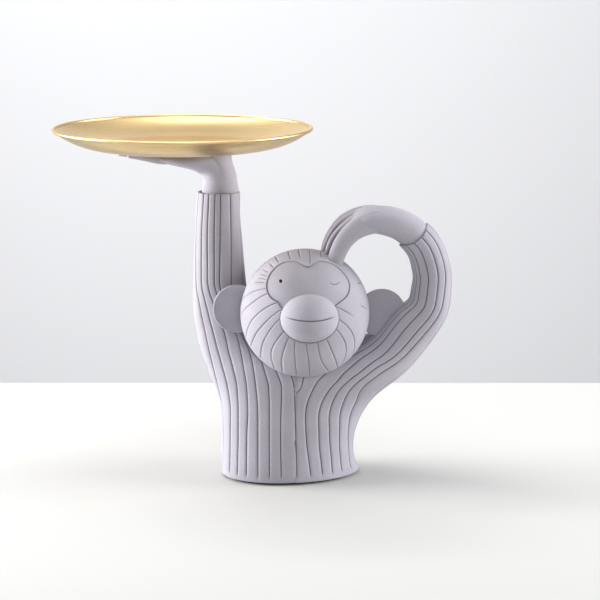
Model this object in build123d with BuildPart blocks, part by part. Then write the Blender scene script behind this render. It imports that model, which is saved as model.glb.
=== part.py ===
"""Resin monkey figure that carries a round dish on one raised hand.

Lengths are in millimetres and angles in degrees. The origin is the centre of the underside, +Z is up,
and the figure looks towards -Y. The raised arm is on the -X side, the looping arm on the +X side.
"""
from build123d import *
from math import atan2, cos, degrees, pi, radians, sin, sqrt
import os

os.makedirs("parts", exist_ok=True)

# Foot and trunk
foot_half_length = 57.7
foot_half_depth = 38.6
foot_turn = 12.0
shoulder_height = 105.5
foot_lift = 2.0

# Looping arm, measured to its outside
loop_reach = 130.5
loop_rise = 120.5
loop_sleeve_width = 33.0

# Raised arm
raised_reach = 80.0
cuff_rise = 128.5
raised_sleeve_width = 43.6
raised_depth = 6.0

# Head and face
head_radius = 52.1
head_half_depth = 46.0
head_across = 11.2
head_forward = 20.0
head_seat_depth = 18.0
head_turn = 5.0
oval_steps = 8
muzzle_half_width = 23.0
muzzle_half_height = 19.2
muzzle_rise = 4.0
muzzle_reach = 13.0
mask_half_width = 33.2
mask_top = 45.8
mask_depth = 1.2
brow_dip_share = 0.935
eye_across = 21.6
eye_rise = 32.0
eye_pit_radius = 1.7
eye_pit_depth = 2.5

# Ears
ear_radius = 19.7
ear_thickness = 8.0
ear_rim_width = 1.4
ear_rim_thickness = 2.5
ear_dish_depth = 3.2
ear_bend = 2.0
ear_back_share = 0.62
ear_back_depth_share = 0.86
ear_set_back = 3.0
tray_side_ear_offset = 2.1
tray_side_ear_rise = 3.5
loop_side_ear_offset = 10.7
loop_side_ear_rise = -2.0

# Raised hand
wrist_half_width = 13.6
wrist_half_depth = 13.0
wrist_plug = 8.0
wrist_plug_share = 0.84
palm_rise = 32.0
palm_reach = 28.5
palm_half_width = 22.0
palm_finger_root = 4.4
palm_finger_tip = 2.7
palm_finger_reach = 51.0
palm_finger_spread = 9.5
palm_root_share = 0.2
palm_fan_share = 1.5
thumb_reach = 20.0
dish_gap = 0.9

# Hand on the crown
knuckle_rise = 7.5
knuckle_share = 0.38
heel_share = 0.47
finger_width = 9.0
finger_half_thickness = 10.6
finger_blend = 0.5
crown_angle = 29.0
crown_sink = 3.0

# Dish and its screw
dish_radius = 105.0
dish_depth = 16.5
dish_floor_radius = 62.0
dish_sheet = 1.0
dish_roll_radius = 1.3
boss_radius = 16.0
boss_thickness = 3.5
washer_thickness = 1.0
washer_bore_radius = 5.5
stud_radius = 3.0
stud_engagement = 7.5
stud_edge = 0.8
boss_edge = 0.6
insert_radius = 4.75
insert_length = 8.5
thread_clearance = 0.06

# Rods and dowels
rod_radius = 4.0
raised_rod_drop = 5.5
rod_hand_reach = 12.0
rod_chamfer = 1.0
dowel_chamfer = 0.5
loop_rod_foot_share = 0.45
loop_rod_end_share = 0.40
neck_dowel_radius = 4.0
neck_dowel_spacing = 26.0
neck_dowel_length = 36.0
neck_dowel_drop = 25.5
neck_dowel_forward = 12.0
ear_dowel_radius = 1.5
ear_dowel_length = 12.0
ear_dowel_share = 0.45
crown_dowel_radius = 1.5
crown_dowel_length = 14.0

# Underside
pad_thickness = 3.0
pad_inset = 5.0
plate_thickness = 2.0
plate_flange = 11.0
ballast_half_length = 36.0
ballast_half_depth = 21.0
ballast_height = 34.0
ballast_edge = 1.5
pocket_clearance = 0.3
base_screw_radius = 2.0
base_screw_head_radius = 3.8
base_screw_head = 1.8
base_screw_length = 14.0
base_screw_angle = 40.0

# One overrun for every cut
overrun = 5.0

# Heights that follow from the shoulder
loop_top = shoulder_height + loop_rise
cuff_height = shoulder_height + cuff_rise
raised_rod_foot = shoulder_height - raised_rod_drop
neck_dowel_foot = shoulder_height - neck_dowel_drop


def square_plane(across, depth, height, lean, turn=0.0):
    """Plane square to a limb: its X crosses the limb, its normal leans from +Z towards +X."""
    lean_angle, turn_angle = radians(lean), radians(turn)
    x_dir = (cos(lean_angle) * cos(turn_angle), sin(turn_angle), -sin(lean_angle))
    z_dir = (sin(lean_angle), 0, cos(lean_angle))
    return Plane(origin=(across, depth, height), x_dir=x_dir, z_dir=z_dir)


def between(start, end, share):
    """Value a share of the way from start to end."""
    return start + share * (end - start)


# Trunk, from the foot to the shoulder. Across and half width are shares of foot_half_length, height
# the share of the way from foot_lift to shoulder_height, half depth a share of foot_half_depth, turn
# a share of foot_turn.
trunk_shares = [
    # across, height, half width, half depth, lean, turn
    (0.000, 0.000, 1.000, 1.000, 0, 1.0),
    (-0.038, 0.087, 0.967, 0.990, 0, 1.0),
    (-0.048, 0.189, 0.949, 0.975, 0, 0.8),
    (-0.030, 0.380, 0.969, 0.960, 3, 0.6),
    (0.127, 0.695, 1.024, 0.904, 14, 0.3),
    (0.927, 0.880, 0.568, 0.768, 31, 0.0),
]

# Looping sleeve, from the shoulder to the cuff. Across is a share of loop_reach, height the share of
# the way from shoulder_height to loop_top, the rest are shares of loop_sleeve_width.
sleeve_shares = [
    # across, height, half width, half depth, lean, forward
    (0.629, 0.000, 0.655, 0.690, 42, 0.06),
    (0.729, 0.123, 0.625, 0.610, 39, 0.11),
    (0.800, 0.221, 0.585, 0.550, 33, 0.15),
    (0.859, 0.320, 0.525, 0.515, 15, 0.20),
    (0.872, 0.420, 0.508, 0.490, 2, 0.25),
    (0.874, 0.526, 0.485, 0.475, -9, 0.29),
    (0.854, 0.629, 0.470, 0.470, -22, 0.34),
    (0.807, 0.744, 0.455, 0.465, -40, 0.42),
    (0.723, 0.837, 0.430, 0.465, -58, 0.50),
]

# Raised sleeve, from inside the trunk to the cuff. Across is a share of raised_reach, half width and
# half depth of raised_sleeve_width, back a share of raised_depth. Height counts from 0 at the foot to
# 1 at the shoulder and 2 at the cuff.
raised_shares = [
    # across, height, half width, half depth, back
    (-0.369, 0.359, 0.550, 0.620, 0.0),
    (-0.404, 0.550, 0.585, 0.640, 0.0),
    (-0.444, 0.723, 0.631, 0.650, 0.1),
    (-0.559, 0.925, 0.615, 0.620, 0.3),
    (-0.661, 1.110, 0.564, 0.560, 0.6),
    (-0.716, 1.284, 0.525, 0.493, 0.8),
    (-0.733, 1.455, 0.491, 0.459, 1.0),
    (-0.740, 1.689, 0.450, 0.424, 1.0),
    (-0.742, 1.845, 0.415, 0.394, 1.0),
    (-0.731, 2.000, 0.399, 0.378, 1.0),
]


def sleeve_place(share):
    """Centre of the looping sleeve at one row of its shares."""
    height = between(shoulder_height, loop_top, share[1])
    return (share[0] * loop_reach, -share[5] * loop_sleeve_width, height)


def raised_place(share):
    """Centre of the raised sleeve at one row of its shares."""
    height = min(share[1], 1) * shoulder_height + max(share[1] - 1, 0) * cuff_rise
    return (share[0] * raised_reach, share[4] * raised_depth, height)


# The two limbs
with BuildPart() as looping_limb:
    for across, height, half_width, half_depth, lean, turn in trunk_shares:
        place = (across * foot_half_length, 0, between(foot_lift, shoulder_height, height))
        with BuildSketch(square_plane(*place, lean, turn * foot_turn)):
            Ellipse(half_width * foot_half_length, half_depth * foot_half_depth)
    for share in sleeve_shares:
        with BuildSketch(square_plane(*sleeve_place(share), share[4])):
            Ellipse(share[2] * loop_sleeve_width, share[3] * loop_sleeve_width)
    loft()

with BuildPart() as raised_limb:
    for share in raised_shares:
        with BuildSketch(square_plane(*raised_place(share), 0)):
            Ellipse(share[2] * raised_sleeve_width, share[3] * raised_sleeve_width)
    loft()

cuff_place = sleeve_place(sleeve_shares[-1])
cuff_lean = sleeve_shares[-1][4]
heel_radius = heel_share * loop_sleeve_width
heel_plane = Plane(origin=cuff_place, x_dir=(1, 0, 0), z_dir=(0, 1, 0))

# Head: round in front view, flatter from front to back, turned a little towards the looping arm
head_height = shoulder_height + head_radius - head_seat_depth
head_centre = (head_across, -head_forward, head_height)
head_right = (cos(radians(head_turn)), sin(radians(head_turn)), 0)
head_plane = Plane(origin=head_centre, x_dir=head_right, z_dir=(0, 0, 1))
head_back = head_plane.y_dir


def head_place(across, back, height):
    """Point given in the head's own frame."""
    return head_plane.from_local_coords(Vector(across, back, height))


def head_front(across, height):
    """How far forward of its centre the head's skin lies, at one place of its front view."""
    return head_half_depth * sqrt(1 - (across**2 + height**2) / head_radius**2)


def oval_points(end_to_middle, side_to_middle):
    """Points on half an oval, from one end of its axis round to the other."""
    turns = [pi * step / oval_steps for step in range(oval_steps + 1)]
    return [(-end_to_middle * cos(turn), side_to_middle * sin(turn)) for turn in turns]


def head_egg(skin):
    """The head's egg, taken in by a skin thickness all round."""
    with BuildPart() as egg:
        with BuildSketch(head_plane):
            with BuildLine():
                points = oval_points(head_half_depth - skin, head_radius - skin)
                half = Spline(*[(across, back) for back, across in points], tangents=((1, 0), (-1, 0)))
                Line(half @ 1, half @ 0)
            make_face()
        revolve(axis=Axis(head_centre, head_back))
    return egg.part


# Corners of half the eye mask, as shares of mask_half_width and mask_top
half_mask_shares = [
    (0.18, 0.985),
    (0.40, 1.0),
    (0.66, 0.93),
    (0.90, 0.775),
    (1.0, 0.60),
    (0.96, 0.47),
    (0.80, 0.38),
]


def half_mask(side):
    """Corners of one half of the eye mask, from the dip between the brows to the muzzle."""
    return [(side * x * mask_half_width, z * mask_top) for x, z in half_mask_shares]


with BuildPart() as mask_cutter:
    with BuildSketch(Plane(origin=head_centre, x_dir=head_right, z_dir=-head_back)):
        with BuildLine():
            dip = (0, brow_dip_share * mask_top)
            Spline(dip, *half_mask(1))
            Line(half_mask(1)[-1], (0, muzzle_rise))
            Line((0, muzzle_rise), half_mask(-1)[-1])
            Spline(*reversed(half_mask(-1)), dip)
        make_face()
    extrude(amount=head_half_depth + overrun)
    add(head_egg(mask_depth), mode=Mode.SUBTRACT)

muzzle_back = muzzle_half_height - muzzle_reach - head_front(0, muzzle_rise)
muzzle_centre = head_place(0, muzzle_back, muzzle_rise)
with BuildPart() as muzzle:
    with BuildSketch(Plane(origin=muzzle_centre, x_dir=head_right, z_dir=(0, 0, 1))):
        with BuildLine():
            half = Spline(
                *oval_points(muzzle_half_width, muzzle_half_height), tangents=((0, 1), (0, -1))
            )
            Line(half @ 1, half @ 0)
        make_face()
    revolve(axis=Axis(muzzle_centre, head_right))

# Raised hand: wrist, palm, four fingers and a thumb, flat on top where the dish is fixed
palm_top = cuff_height + palm_rise
wrist_place = raised_place(raised_shares[-1])
dish_across = wrist_place[0] - palm_reach
dish_back = wrist_place[1]
dish_axis = Axis((dish_across, dish_back, 0), (0, 0, 1))

# Across is a share of palm_reach, height of palm_rise, half width of wrist_half_width, half depth of
# the way from wrist_half_depth to palm_half_width.
palm_shares = [
    # across, height, half width, half depth, lean
    (0.090, 0.000, 1.00, 0.00, 0),
    (0.045, 0.280, 0.96, 0.02, -6),
    (-0.020, 0.560, 0.95, 0.15, -18),
    (-0.270, 0.815, 0.68, 0.60, -50),
    (-0.750, 0.862, 0.48, 0.95, -84),
    (-1.250, 0.885, 0.38, 1.00, -88),
    (-1.600, 0.905, 0.30, 0.85, -88),
]

with BuildPart() as palm:
    plug_foot = (wrist_place[0], wrist_place[1], cuff_height - wrist_plug)
    with BuildSketch(square_plane(*plug_foot, 0)):
        Ellipse(wrist_plug_share * wrist_half_width, wrist_plug_share * wrist_half_depth)
    for across, height, half_width, half_depth, lean in palm_shares:
        place = (wrist_place[0] + across * palm_reach, wrist_place[1], cuff_height + height * palm_rise)
        with BuildSketch(square_plane(*place, lean)):
            depth = between(wrist_half_depth, palm_half_width, half_depth)
            Ellipse(half_width * wrist_half_width, depth)
    loft()

boss_floor = palm_top + washer_thickness
dish_floor = boss_floor + boss_thickness
finger_root_height = palm_top - palm_finger_root
finger_tip_height = dish_floor - palm_finger_tip - dish_gap

# Four fingers side by side, counted in finger spacings from the middle of the row
finger_row_shares = (-1.5, -0.5, 0.5, 1.5)

palm_fingers = []
for spread in finger_row_shares:
    root_across = dish_across - palm_root_share * palm_finger_reach
    root_back = dish_back + spread * palm_finger_spread
    tip_across = dish_across - palm_finger_reach + palm_finger_root * spread**2
    tip_back = dish_back + palm_fan_share * spread * palm_finger_spread
    palm_fingers.append(
        [(root_across, root_back, finger_root_height), (tip_across, tip_back, finger_tip_height)]
    )
thumb_across = dish_across + palm_finger_root
thumb_back = dish_back + palm_half_width - palm_finger_spread
thumb_root = (thumb_across, thumb_back, finger_root_height)
thumb_tip = (thumb_across - thumb_reach, thumb_back + thumb_reach, finger_tip_height)
palm_fingers.append([thumb_root, thumb_tip])

palm_insert_foot = palm_top - insert_length
raised_rod_top = cuff_height + rod_hand_reach

with BuildPart() as raised_arm_rod:
    with Locations((wrist_place[0], wrist_place[1], raised_rod_foot)):
        Cylinder(
            rod_radius, raised_rod_top - raised_rod_foot, align=(Align.CENTER, Align.CENTER, Align.MIN)
        )
    chamfer(raised_arm_rod.edges(), rod_chamfer)

with BuildPart() as palm_insert:
    with BuildSketch(Plane.XY.offset(palm_insert_foot)):
        with Locations((dish_across, dish_back)):
            Circle(insert_radius)
            Circle(stud_radius + thread_clearance, mode=Mode.SUBTRACT)
    extrude(amount=insert_length)

with BuildPart() as raised_hand:
    add(palm.part)
    split(bisect_by=Plane.XY.offset(palm_top), keep=Keep.BOTTOM)
    for root, tip in palm_fingers:
        along = Vector(*tip) - Vector(*root)
        with BuildSketch(Plane(origin=root, z_dir=along)):
            Circle(palm_finger_root)
        with BuildSketch(Plane(origin=tip, z_dir=along)):
            Circle(palm_finger_tip)
        loft()
        with Locations(root):
            Sphere(palm_finger_root)
        with Locations(tip):
            Sphere(palm_finger_tip)
    with BuildSketch(Plane.XY.offset(palm_top)):
        with Locations((dish_across, dish_back)):
            Circle(boss_radius + dish_gap)
    extrude(amount=dish_floor - palm_top + overrun, mode=Mode.SUBTRACT)
    with BuildSketch(Plane.XY.offset(palm_insert_foot)):
        with Locations((dish_across, dish_back)):
            Circle(insert_radius)
    extrude(amount=insert_length + overrun, mode=Mode.SUBTRACT)
    add(raised_arm_rod.part, mode=Mode.SUBTRACT)

# Hand on the crown: heel, back of the hand, four fingers that land on the head
crown_reach = head_radius * sin(radians(crown_angle))
crown_across = head_across + crown_reach
knuckle_place = (
    between(crown_across, cuff_place[0], knuckle_share),
    -head_forward,
    cuff_place[2] + knuckle_rise,
)

# Across and rise are shares of the way from knuckle to cuff and of knuckle_rise, widths are shares of
# loop_sleeve_width.
hand_shares = [
    # across, rise, half width, half depth, lean
    (1.000, 0.00, 0.430, 0.465, -58),
    (0.786, 0.51, 0.406, 0.475, -65),
    (0.514, 0.88, 0.394, 0.500, -73),
    (0.242, 1.03, 0.378, 0.530, -81),
    (0.000, 1.00, 0.345, 0.530, -91),
]

# Along a finger from its tip to the knuckle. Across and height are shares of the way, outward a share
# of how far that finger stands out, in the direction that the lean gives.
finger_shares = [
    # across, height, lean, outward
    (0.02, 0.15, -143, 0.5),
    (0.16, 0.36, -130, 1.0),
    (0.55, 0.77, -112, 0.8),
    (1.00, 0.97, -93, 0.0),
]
# Half thickness at three places along a finger, as shares of finger_half_thickness
finger_taper_shares = {0: 0.53, 0.5: 0.81, 1: 1.0}
finger_angle_shares = (1.0, 0.85, 0.73, 0.66)
finger_outward_shares = (0.0, 0.38, 0.62, 0.66)

rod_foot = (loop_rod_foot_share * loop_reach - rod_radius, 0, shoulder_height - rod_hand_reach)
rod_end = (
    between(knuckle_place[0], cuff_place[0], loop_rod_end_share),
    between(knuckle_place[1], cuff_place[1], loop_rod_end_share),
    cuff_place[2] + knuckle_rise,
)
with BuildPart() as looping_arm_rod:
    with BuildLine() as rod_line:
        Spline(rod_foot, *[sleeve_place(share) for share in sleeve_shares[2::2]], rod_end)
    with BuildSketch(Plane(origin=rod_line.line @ 0, z_dir=rod_line.line % 0)):
        Circle(rod_radius)
    sweep(path=rod_line.line)

dowel_angle = crown_angle * finger_angle_shares[1]
dowel_side = head_place(sin(radians(dowel_angle)), 0, cos(radians(dowel_angle))) - Vector(*head_centre)
dowel_middle = Vector(*head_centre) - 0.5 * finger_width * head_back + head_radius * dowel_side
with BuildPart() as crown_dowel:
    with Locations(Plane(origin=dowel_middle, x_dir=head_back, z_dir=dowel_side)):
        Cylinder(crown_dowel_radius, crown_dowel_length)

with BuildPart() as scratching_hand:
    add(looping_limb.part)
    with Locations(heel_plane):
        Cylinder(heel_radius, foot_half_length, mode=Mode.INTERSECT)
    for across, rise, half_width, half_depth, lean in hand_shares:
        place = (
            between(knuckle_place[0], cuff_place[0], across),
            between(knuckle_place[1], cuff_place[1], across),
            cuff_place[2] + rise * knuckle_rise,
        )
        with BuildSketch(square_plane(*place, lean)):
            Ellipse(half_width * loop_sleeve_width, half_depth * loop_sleeve_width)
    loft()
    for spread, angle_share, outward_share in zip(
        finger_row_shares, finger_angle_shares, finger_outward_shares
    ):
        back = spread * finger_width
        angle = radians(angle_share * crown_angle)
        skin = head_radius * sqrt(1 - (back / head_half_depth) ** 2)
        root = head_place((skin - crown_sink) * sin(angle), back, (skin - crown_sink) * cos(angle))
        tip = head_place(skin * sin(angle), back, skin * cos(angle))
        places = [root]
        for across, height, lean, outward in finger_shares:
            out = outward * outward_share * finger_width
            plane = square_plane(
                between(tip.X, knuckle_place[0], across),
                between(tip.Y, knuckle_place[1] + back, across),
                between(tip.Z, knuckle_place[2], height),
                lean,
            )
            places.append(plane.from_local_coords(Vector(out, 0, 0)))
        with BuildLine() as finger_line:
            Spline(*places)
        for share, taper in finger_taper_shares.items():
            along = finger_line.line % share
            across_dir = Vector(0, 1, 0).cross(along)
            with BuildSketch(Plane(origin=finger_line.line @ share, x_dir=across_dir, z_dir=along)):
                Ellipse(taper * finger_half_thickness, 0.5 * finger_width + finger_blend)
        sweep(path=finger_line.line, multisection=True)
    add(head_egg(0), mode=Mode.SUBTRACT)
    add(looping_arm_rod.part, mode=Mode.SUBTRACT)
    add(crown_dowel.part, mode=Mode.SUBTRACT)

# Neck and ear dowels
neck_dowel_places = [
    (head_across + side * 0.5 * neck_dowel_spacing, -neck_dowel_forward, neck_dowel_foot)
    for side in (-1, 1)
]
with BuildPart() as neck_dowels:
    with Locations(*neck_dowel_places):
        Cylinder(
            neck_dowel_radius, neck_dowel_length, align=(Align.CENTER, Align.CENTER, Align.MIN)
        )
    chamfer(neck_dowels.edges(), dowel_chamfer)

ear_places = {
    "tray": (-head_radius - tray_side_ear_offset, tray_side_ear_rise),
    "loop": (head_radius + loop_side_ear_offset, loop_side_ear_rise),
}
ear_dowel_back = ear_set_back + between(ear_dish_depth, ear_thickness, ear_dowel_share)
with BuildPart() as ear_dowels:
    for across, rise in ear_places.values():
        side = across / abs(across)
        middle = head_place(side * sqrt(head_radius**2 - rise**2), ear_dowel_back, rise)
        with Locations(Plane(origin=middle, x_dir=(0, 0, 1), z_dir=head_right)):
            Cylinder(ear_dowel_radius, ear_dowel_length)

# Head: egg with a sunk eye mask, a muzzle, one drilled eye, and a saddle below for the two limbs
eye_skin = head_front(eye_across, eye_rise) - mask_depth
eye_place = head_place(-eye_across, -eye_skin - overrun, eye_rise)
with BuildPart() as head_casting:
    add(head_egg(0))
    add(mask_cutter.part, mode=Mode.SUBTRACT)
    add(muzzle.part)
    with Locations(Plane(origin=eye_place, x_dir=head_right, z_dir=head_back)):
        Cylinder(
            eye_pit_radius,
            eye_pit_depth + overrun,
            align=(Align.CENTER, Align.CENTER, Align.MIN),
            mode=Mode.SUBTRACT,
        )
    add(looping_limb.part, mode=Mode.SUBTRACT)
    add(raised_limb.part, mode=Mode.SUBTRACT)
    add(neck_dowels.part, mode=Mode.SUBTRACT)
    add(ear_dowels.part, mode=Mode.SUBTRACT)
    add(crown_dowel.part, mode=Mode.SUBTRACT)


def ear(across, rise):
    """Dished ear with a thin raised rim, cut where it meets the head and the limbs."""
    centre = head_place(across, ear_set_back, rise)
    with BuildPart() as shell:
        with BuildSketch(Plane(origin=centre, x_dir=head_right, z_dir=(0, 0, -1))):
            with BuildLine():
                rim_edge = (ear_radius - ear_rim_width, 0)
                dish = Spline(
                    (0, -ear_dish_depth),
                    rim_edge,
                    tangents=((1, 0), (rim_edge[0], ear_bend * ear_dish_depth)),
                )
                Polyline(rim_edge, (ear_radius, 0), (ear_radius, -ear_rim_thickness))
                back = Spline(
                    (ear_radius, -ear_rim_thickness),
                    (ear_back_share * ear_radius, -ear_back_depth_share * ear_thickness),
                    (0, -ear_thickness),
                    tangents=((-1, -ear_bend), (-1, 0)),
                )
                Line(back @ 1, dish @ 0)
            make_face()
        revolve(axis=Axis(centre, head_back))
        add(head_egg(0), mode=Mode.SUBTRACT)
        add(looping_limb.part, mode=Mode.SUBTRACT)
        add(raised_limb.part, mode=Mode.SUBTRACT)
        add(ear_dowels.part, mode=Mode.SUBTRACT)
    return shell.part


# Underside: pad, closing plate, ballast and screws, all turned with the foot
foot_plane = Plane.XY.rotated((0, 0, foot_turn))
plate_floor = pad_thickness
ballast_floor = plate_floor + plate_thickness
pad_half_length = foot_half_length - pad_inset
pad_half_depth = foot_half_depth - pad_inset
plate_half_length = ballast_half_length + plate_flange
plate_half_depth = ballast_half_depth + plate_flange
screw_angles = (base_screw_angle, 180 - base_screw_angle, 180 + base_screw_angle, -base_screw_angle)
screw_places = [
    (
        between(ballast_half_length, plate_half_length, 0.5) * cos(radians(angle)),
        between(ballast_half_depth, plate_half_depth, 0.5) * sin(radians(angle)),
    )
    for angle in screw_angles
]

with BuildPart() as base_pad:
    with BuildSketch(foot_plane):
        Ellipse(pad_half_length, pad_half_depth)
    extrude(amount=pad_thickness)

with BuildPart() as base_plate:
    with BuildSketch(foot_plane.offset(plate_floor)):
        Ellipse(plate_half_length, plate_half_depth)
    extrude(amount=plate_thickness)
    with BuildSketch(foot_plane.offset(plate_floor)):
        with Locations(*screw_places):
            Circle(base_screw_radius)
    extrude(amount=plate_thickness, mode=Mode.SUBTRACT)
    for across, back in screw_places:
        with BuildSketch(foot_plane.offset(plate_floor)):
            with Locations((across, back)):
                Circle(base_screw_head_radius)
        with BuildSketch(foot_plane.offset(plate_floor + base_screw_head)):
            with Locations((across, back)):
                Circle(base_screw_radius)
        loft(mode=Mode.SUBTRACT)

with BuildPart() as base_screws:
    for across, back in screw_places:
        with BuildSketch(foot_plane.offset(plate_floor)):
            with Locations((across, back)):
                Circle(base_screw_head_radius)
        with BuildSketch(foot_plane.offset(plate_floor + base_screw_head)):
            with Locations((across, back)):
                Circle(base_screw_radius)
        loft()
        with BuildSketch(foot_plane.offset(plate_floor + base_screw_head)):
            with Locations((across, back)):
                Circle(base_screw_radius)
        extrude(amount=base_screw_length - base_screw_head)

with BuildPart() as ballast_block:
    with BuildSketch(foot_plane.offset(ballast_floor)):
        Ellipse(ballast_half_length, ballast_half_depth)
    extrude(amount=ballast_height)
    chamfer(ballast_block.faces().sort_by(Axis.Z)[-1].edges(), ballast_edge)

# Body: both limbs in one casting, bored and recessed for everything that is fixed in it
pocket_half_length = ballast_half_length + pocket_clearance
pocket_half_depth = ballast_half_depth + pocket_clearance
with BuildPart() as body_casting:
    add(looping_limb.part)
    add(raised_limb.part)
    with Locations(heel_plane):
        Cylinder(heel_radius, foot_half_length, mode=Mode.SUBTRACT)
    add(palm.part, mode=Mode.SUBTRACT)
    with BuildSketch(foot_plane):
        Ellipse(pad_half_length, pad_half_depth)
    extrude(amount=plate_floor, mode=Mode.SUBTRACT)
    with BuildSketch(foot_plane.offset(plate_floor)):
        Ellipse(plate_half_length, plate_half_depth)
    extrude(amount=plate_thickness, mode=Mode.SUBTRACT)
    with BuildSketch(foot_plane.offset(ballast_floor)):
        Ellipse(pocket_half_length, pocket_half_depth)
    extrude(amount=ballast_height + pocket_clearance, mode=Mode.SUBTRACT)
    add(base_screws.part, mode=Mode.SUBTRACT)
    add(raised_arm_rod.part, mode=Mode.SUBTRACT)
    add(looping_arm_rod.part, mode=Mode.SUBTRACT)
    add(neck_dowels.part, mode=Mode.SUBTRACT)

# Dish: spun sheet with a flat floor, a rising side and a rolled rim
roll_place = (dish_radius - dish_roll_radius, dish_depth - dish_roll_radius)
side_run = roll_place[0] - dish_floor_radius
side_rise = roll_place[1] - 0.5 * dish_sheet
side_angle = 2 * degrees(atan2(side_rise, side_run))
side_radius = side_run / sin(radians(side_angle)) + 0.5 * dish_sheet
side_centre = (dish_floor_radius, side_radius)
dish_plane = Plane(origin=(dish_across, dish_back, dish_floor), x_dir=(1, 0, 0), z_dir=(0, -1, 0))
with BuildPart() as tray_dish:
    with BuildSketch(dish_plane):
        with BuildLine():
            under = CenterArc(side_centre, side_radius, -90, side_angle)
            inside = CenterArc(side_centre, side_radius - dish_sheet, -90, side_angle)
            Line(under @ 1, inside @ 1)
            Polyline(under @ 0, (0, 0), (0, dish_sheet), inside @ 0)
        make_face()
        with Locations(roll_place):
            Circle(dish_roll_radius)
    revolve(axis=dish_axis)

with BuildPart() as tray_boss:
    with BuildSketch(Plane.XY.offset(boss_floor)):
        with Locations((dish_across, dish_back)):
            Circle(boss_radius)
            Circle(stud_radius, mode=Mode.SUBTRACT)
    extrude(amount=boss_thickness)
    chamfer(tray_boss.edges().group_by(Axis.Z)[0].sort_by(SortBy.RADIUS)[-1], boss_edge)

stud_foot = palm_top - stud_engagement
with BuildPart() as tray_stud:
    with BuildSketch(Plane.XY.offset(stud_foot)):
        with Locations((dish_across, dish_back)):
            Circle(stud_radius)
    extrude(amount=dish_floor - stud_foot)
    chamfer(tray_stud.faces().sort_by(Axis.Z)[0].edges(), stud_edge)

with BuildPart() as tray_washer:
    with BuildSketch(Plane.XY.offset(palm_top)):
        with Locations((dish_across, dish_back)):
            Circle(boss_radius)
            Circle(washer_bore_radius, mode=Mode.SUBTRACT)
    extrude(amount=washer_thickness)

nodes = {
    "body_casting": body_casting.part,
    "head_casting": head_casting.part,
    "ear_tray_side": ear(*ear_places["tray"]),
    "ear_loop_side": ear(*ear_places["loop"]),
    "raised_hand": raised_hand.part,
    "scratching_hand": scratching_hand.part,
    "tray_dish": tray_dish.part,
    "tray_boss": tray_boss.part,
    "tray_stud": tray_stud.part,
    "tray_washer": tray_washer.part,
    "palm_insert": palm_insert.part,
    "raised_arm_rod": raised_arm_rod.part,
    "looping_arm_rod": looping_arm_rod.part,
    "neck_dowels": neck_dowels.part,
    "ear_dowels": ear_dowels.part,
    "crown_dowel": crown_dowel.part,
    "ballast_block": ballast_block.part,
    "base_plate": base_plate.part,
    "base_screws": base_screws.part,
    "base_pad": base_pad.part,
}
for name, piece in nodes.items():
    piece.label = name
    export_step(piece, f"parts/{name}.step")
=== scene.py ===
# %% [markdown]
# A resin monkey that carries a brass dish, dressed over its CAD frame.
# The solids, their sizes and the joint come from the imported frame. This script gives each of them the
# skin, the cut grooves and the finish that the real ornament has. All tables below are in
# millimetres, in the frame's own axes: +Z up, the monkey looks towards -Y.

import math

import bpy
import numpy as np
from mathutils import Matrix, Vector


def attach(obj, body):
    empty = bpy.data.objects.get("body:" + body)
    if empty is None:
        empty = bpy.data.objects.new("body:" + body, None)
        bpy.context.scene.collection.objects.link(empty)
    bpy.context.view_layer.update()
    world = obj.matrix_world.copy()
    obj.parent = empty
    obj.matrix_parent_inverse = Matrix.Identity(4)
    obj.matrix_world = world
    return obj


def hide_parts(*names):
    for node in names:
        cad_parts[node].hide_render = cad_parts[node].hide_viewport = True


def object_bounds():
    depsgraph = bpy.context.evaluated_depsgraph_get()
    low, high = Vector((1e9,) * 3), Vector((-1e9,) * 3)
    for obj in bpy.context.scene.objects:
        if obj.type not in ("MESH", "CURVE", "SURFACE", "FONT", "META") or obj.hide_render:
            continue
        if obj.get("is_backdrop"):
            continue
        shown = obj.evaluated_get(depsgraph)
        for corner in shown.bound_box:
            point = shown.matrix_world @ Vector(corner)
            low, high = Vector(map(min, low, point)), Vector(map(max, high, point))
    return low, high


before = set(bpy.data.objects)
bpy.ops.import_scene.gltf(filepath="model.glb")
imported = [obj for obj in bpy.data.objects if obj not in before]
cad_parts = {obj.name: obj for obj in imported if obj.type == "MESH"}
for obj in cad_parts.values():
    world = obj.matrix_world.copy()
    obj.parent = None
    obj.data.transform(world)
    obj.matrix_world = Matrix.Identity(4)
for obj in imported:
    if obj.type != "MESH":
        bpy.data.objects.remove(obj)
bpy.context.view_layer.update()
MM = 0.001
FULL_TURN = 2 * math.pi

# %% [markdown]
# ## Camera
# The photograph was taken with a long lens a little above the dish, looking down about eleven
# degrees. A camera could be aimed by hand, but its place was worked out from known points on the
# figure, so it is written here as a place and a pitch.

# %% Camera
CAMERA_PLACE = (7.3, -1500.0, 448.6)
CAMERA_PITCH = 11.4
CAMERA_LENS = 112.5
CAMERA_SENSOR = 36.0
CAMERA_REACH = 20.0

camera = bpy.data.objects.new("photo_camera", bpy.data.cameras.new("photo_camera"))
camera.data.lens = CAMERA_LENS
camera.data.sensor_width = CAMERA_SENSOR
camera.data.clip_end = CAMERA_REACH
camera.location = [MM * c for c in CAMERA_PLACE]
camera.rotation_euler = (math.radians(90 - CAMERA_PITCH), 0, 0)
bpy.context.scene.collection.objects.link(camera)
bpy.context.scene.camera = camera
print("camera at", list(camera.location), "lens", CAMERA_LENS)

# %% [markdown]
# ## Node helpers
# Every finish is a small tree of shader nodes, and most need the same things: a cloudy pattern, two
# colours blended by it, and fine bumps. They could be wired by hand each time, but small helpers keep
# the trees short. Texture coordinates are always Object coordinates, so the grain stays on the piece
# when it moves.


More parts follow.
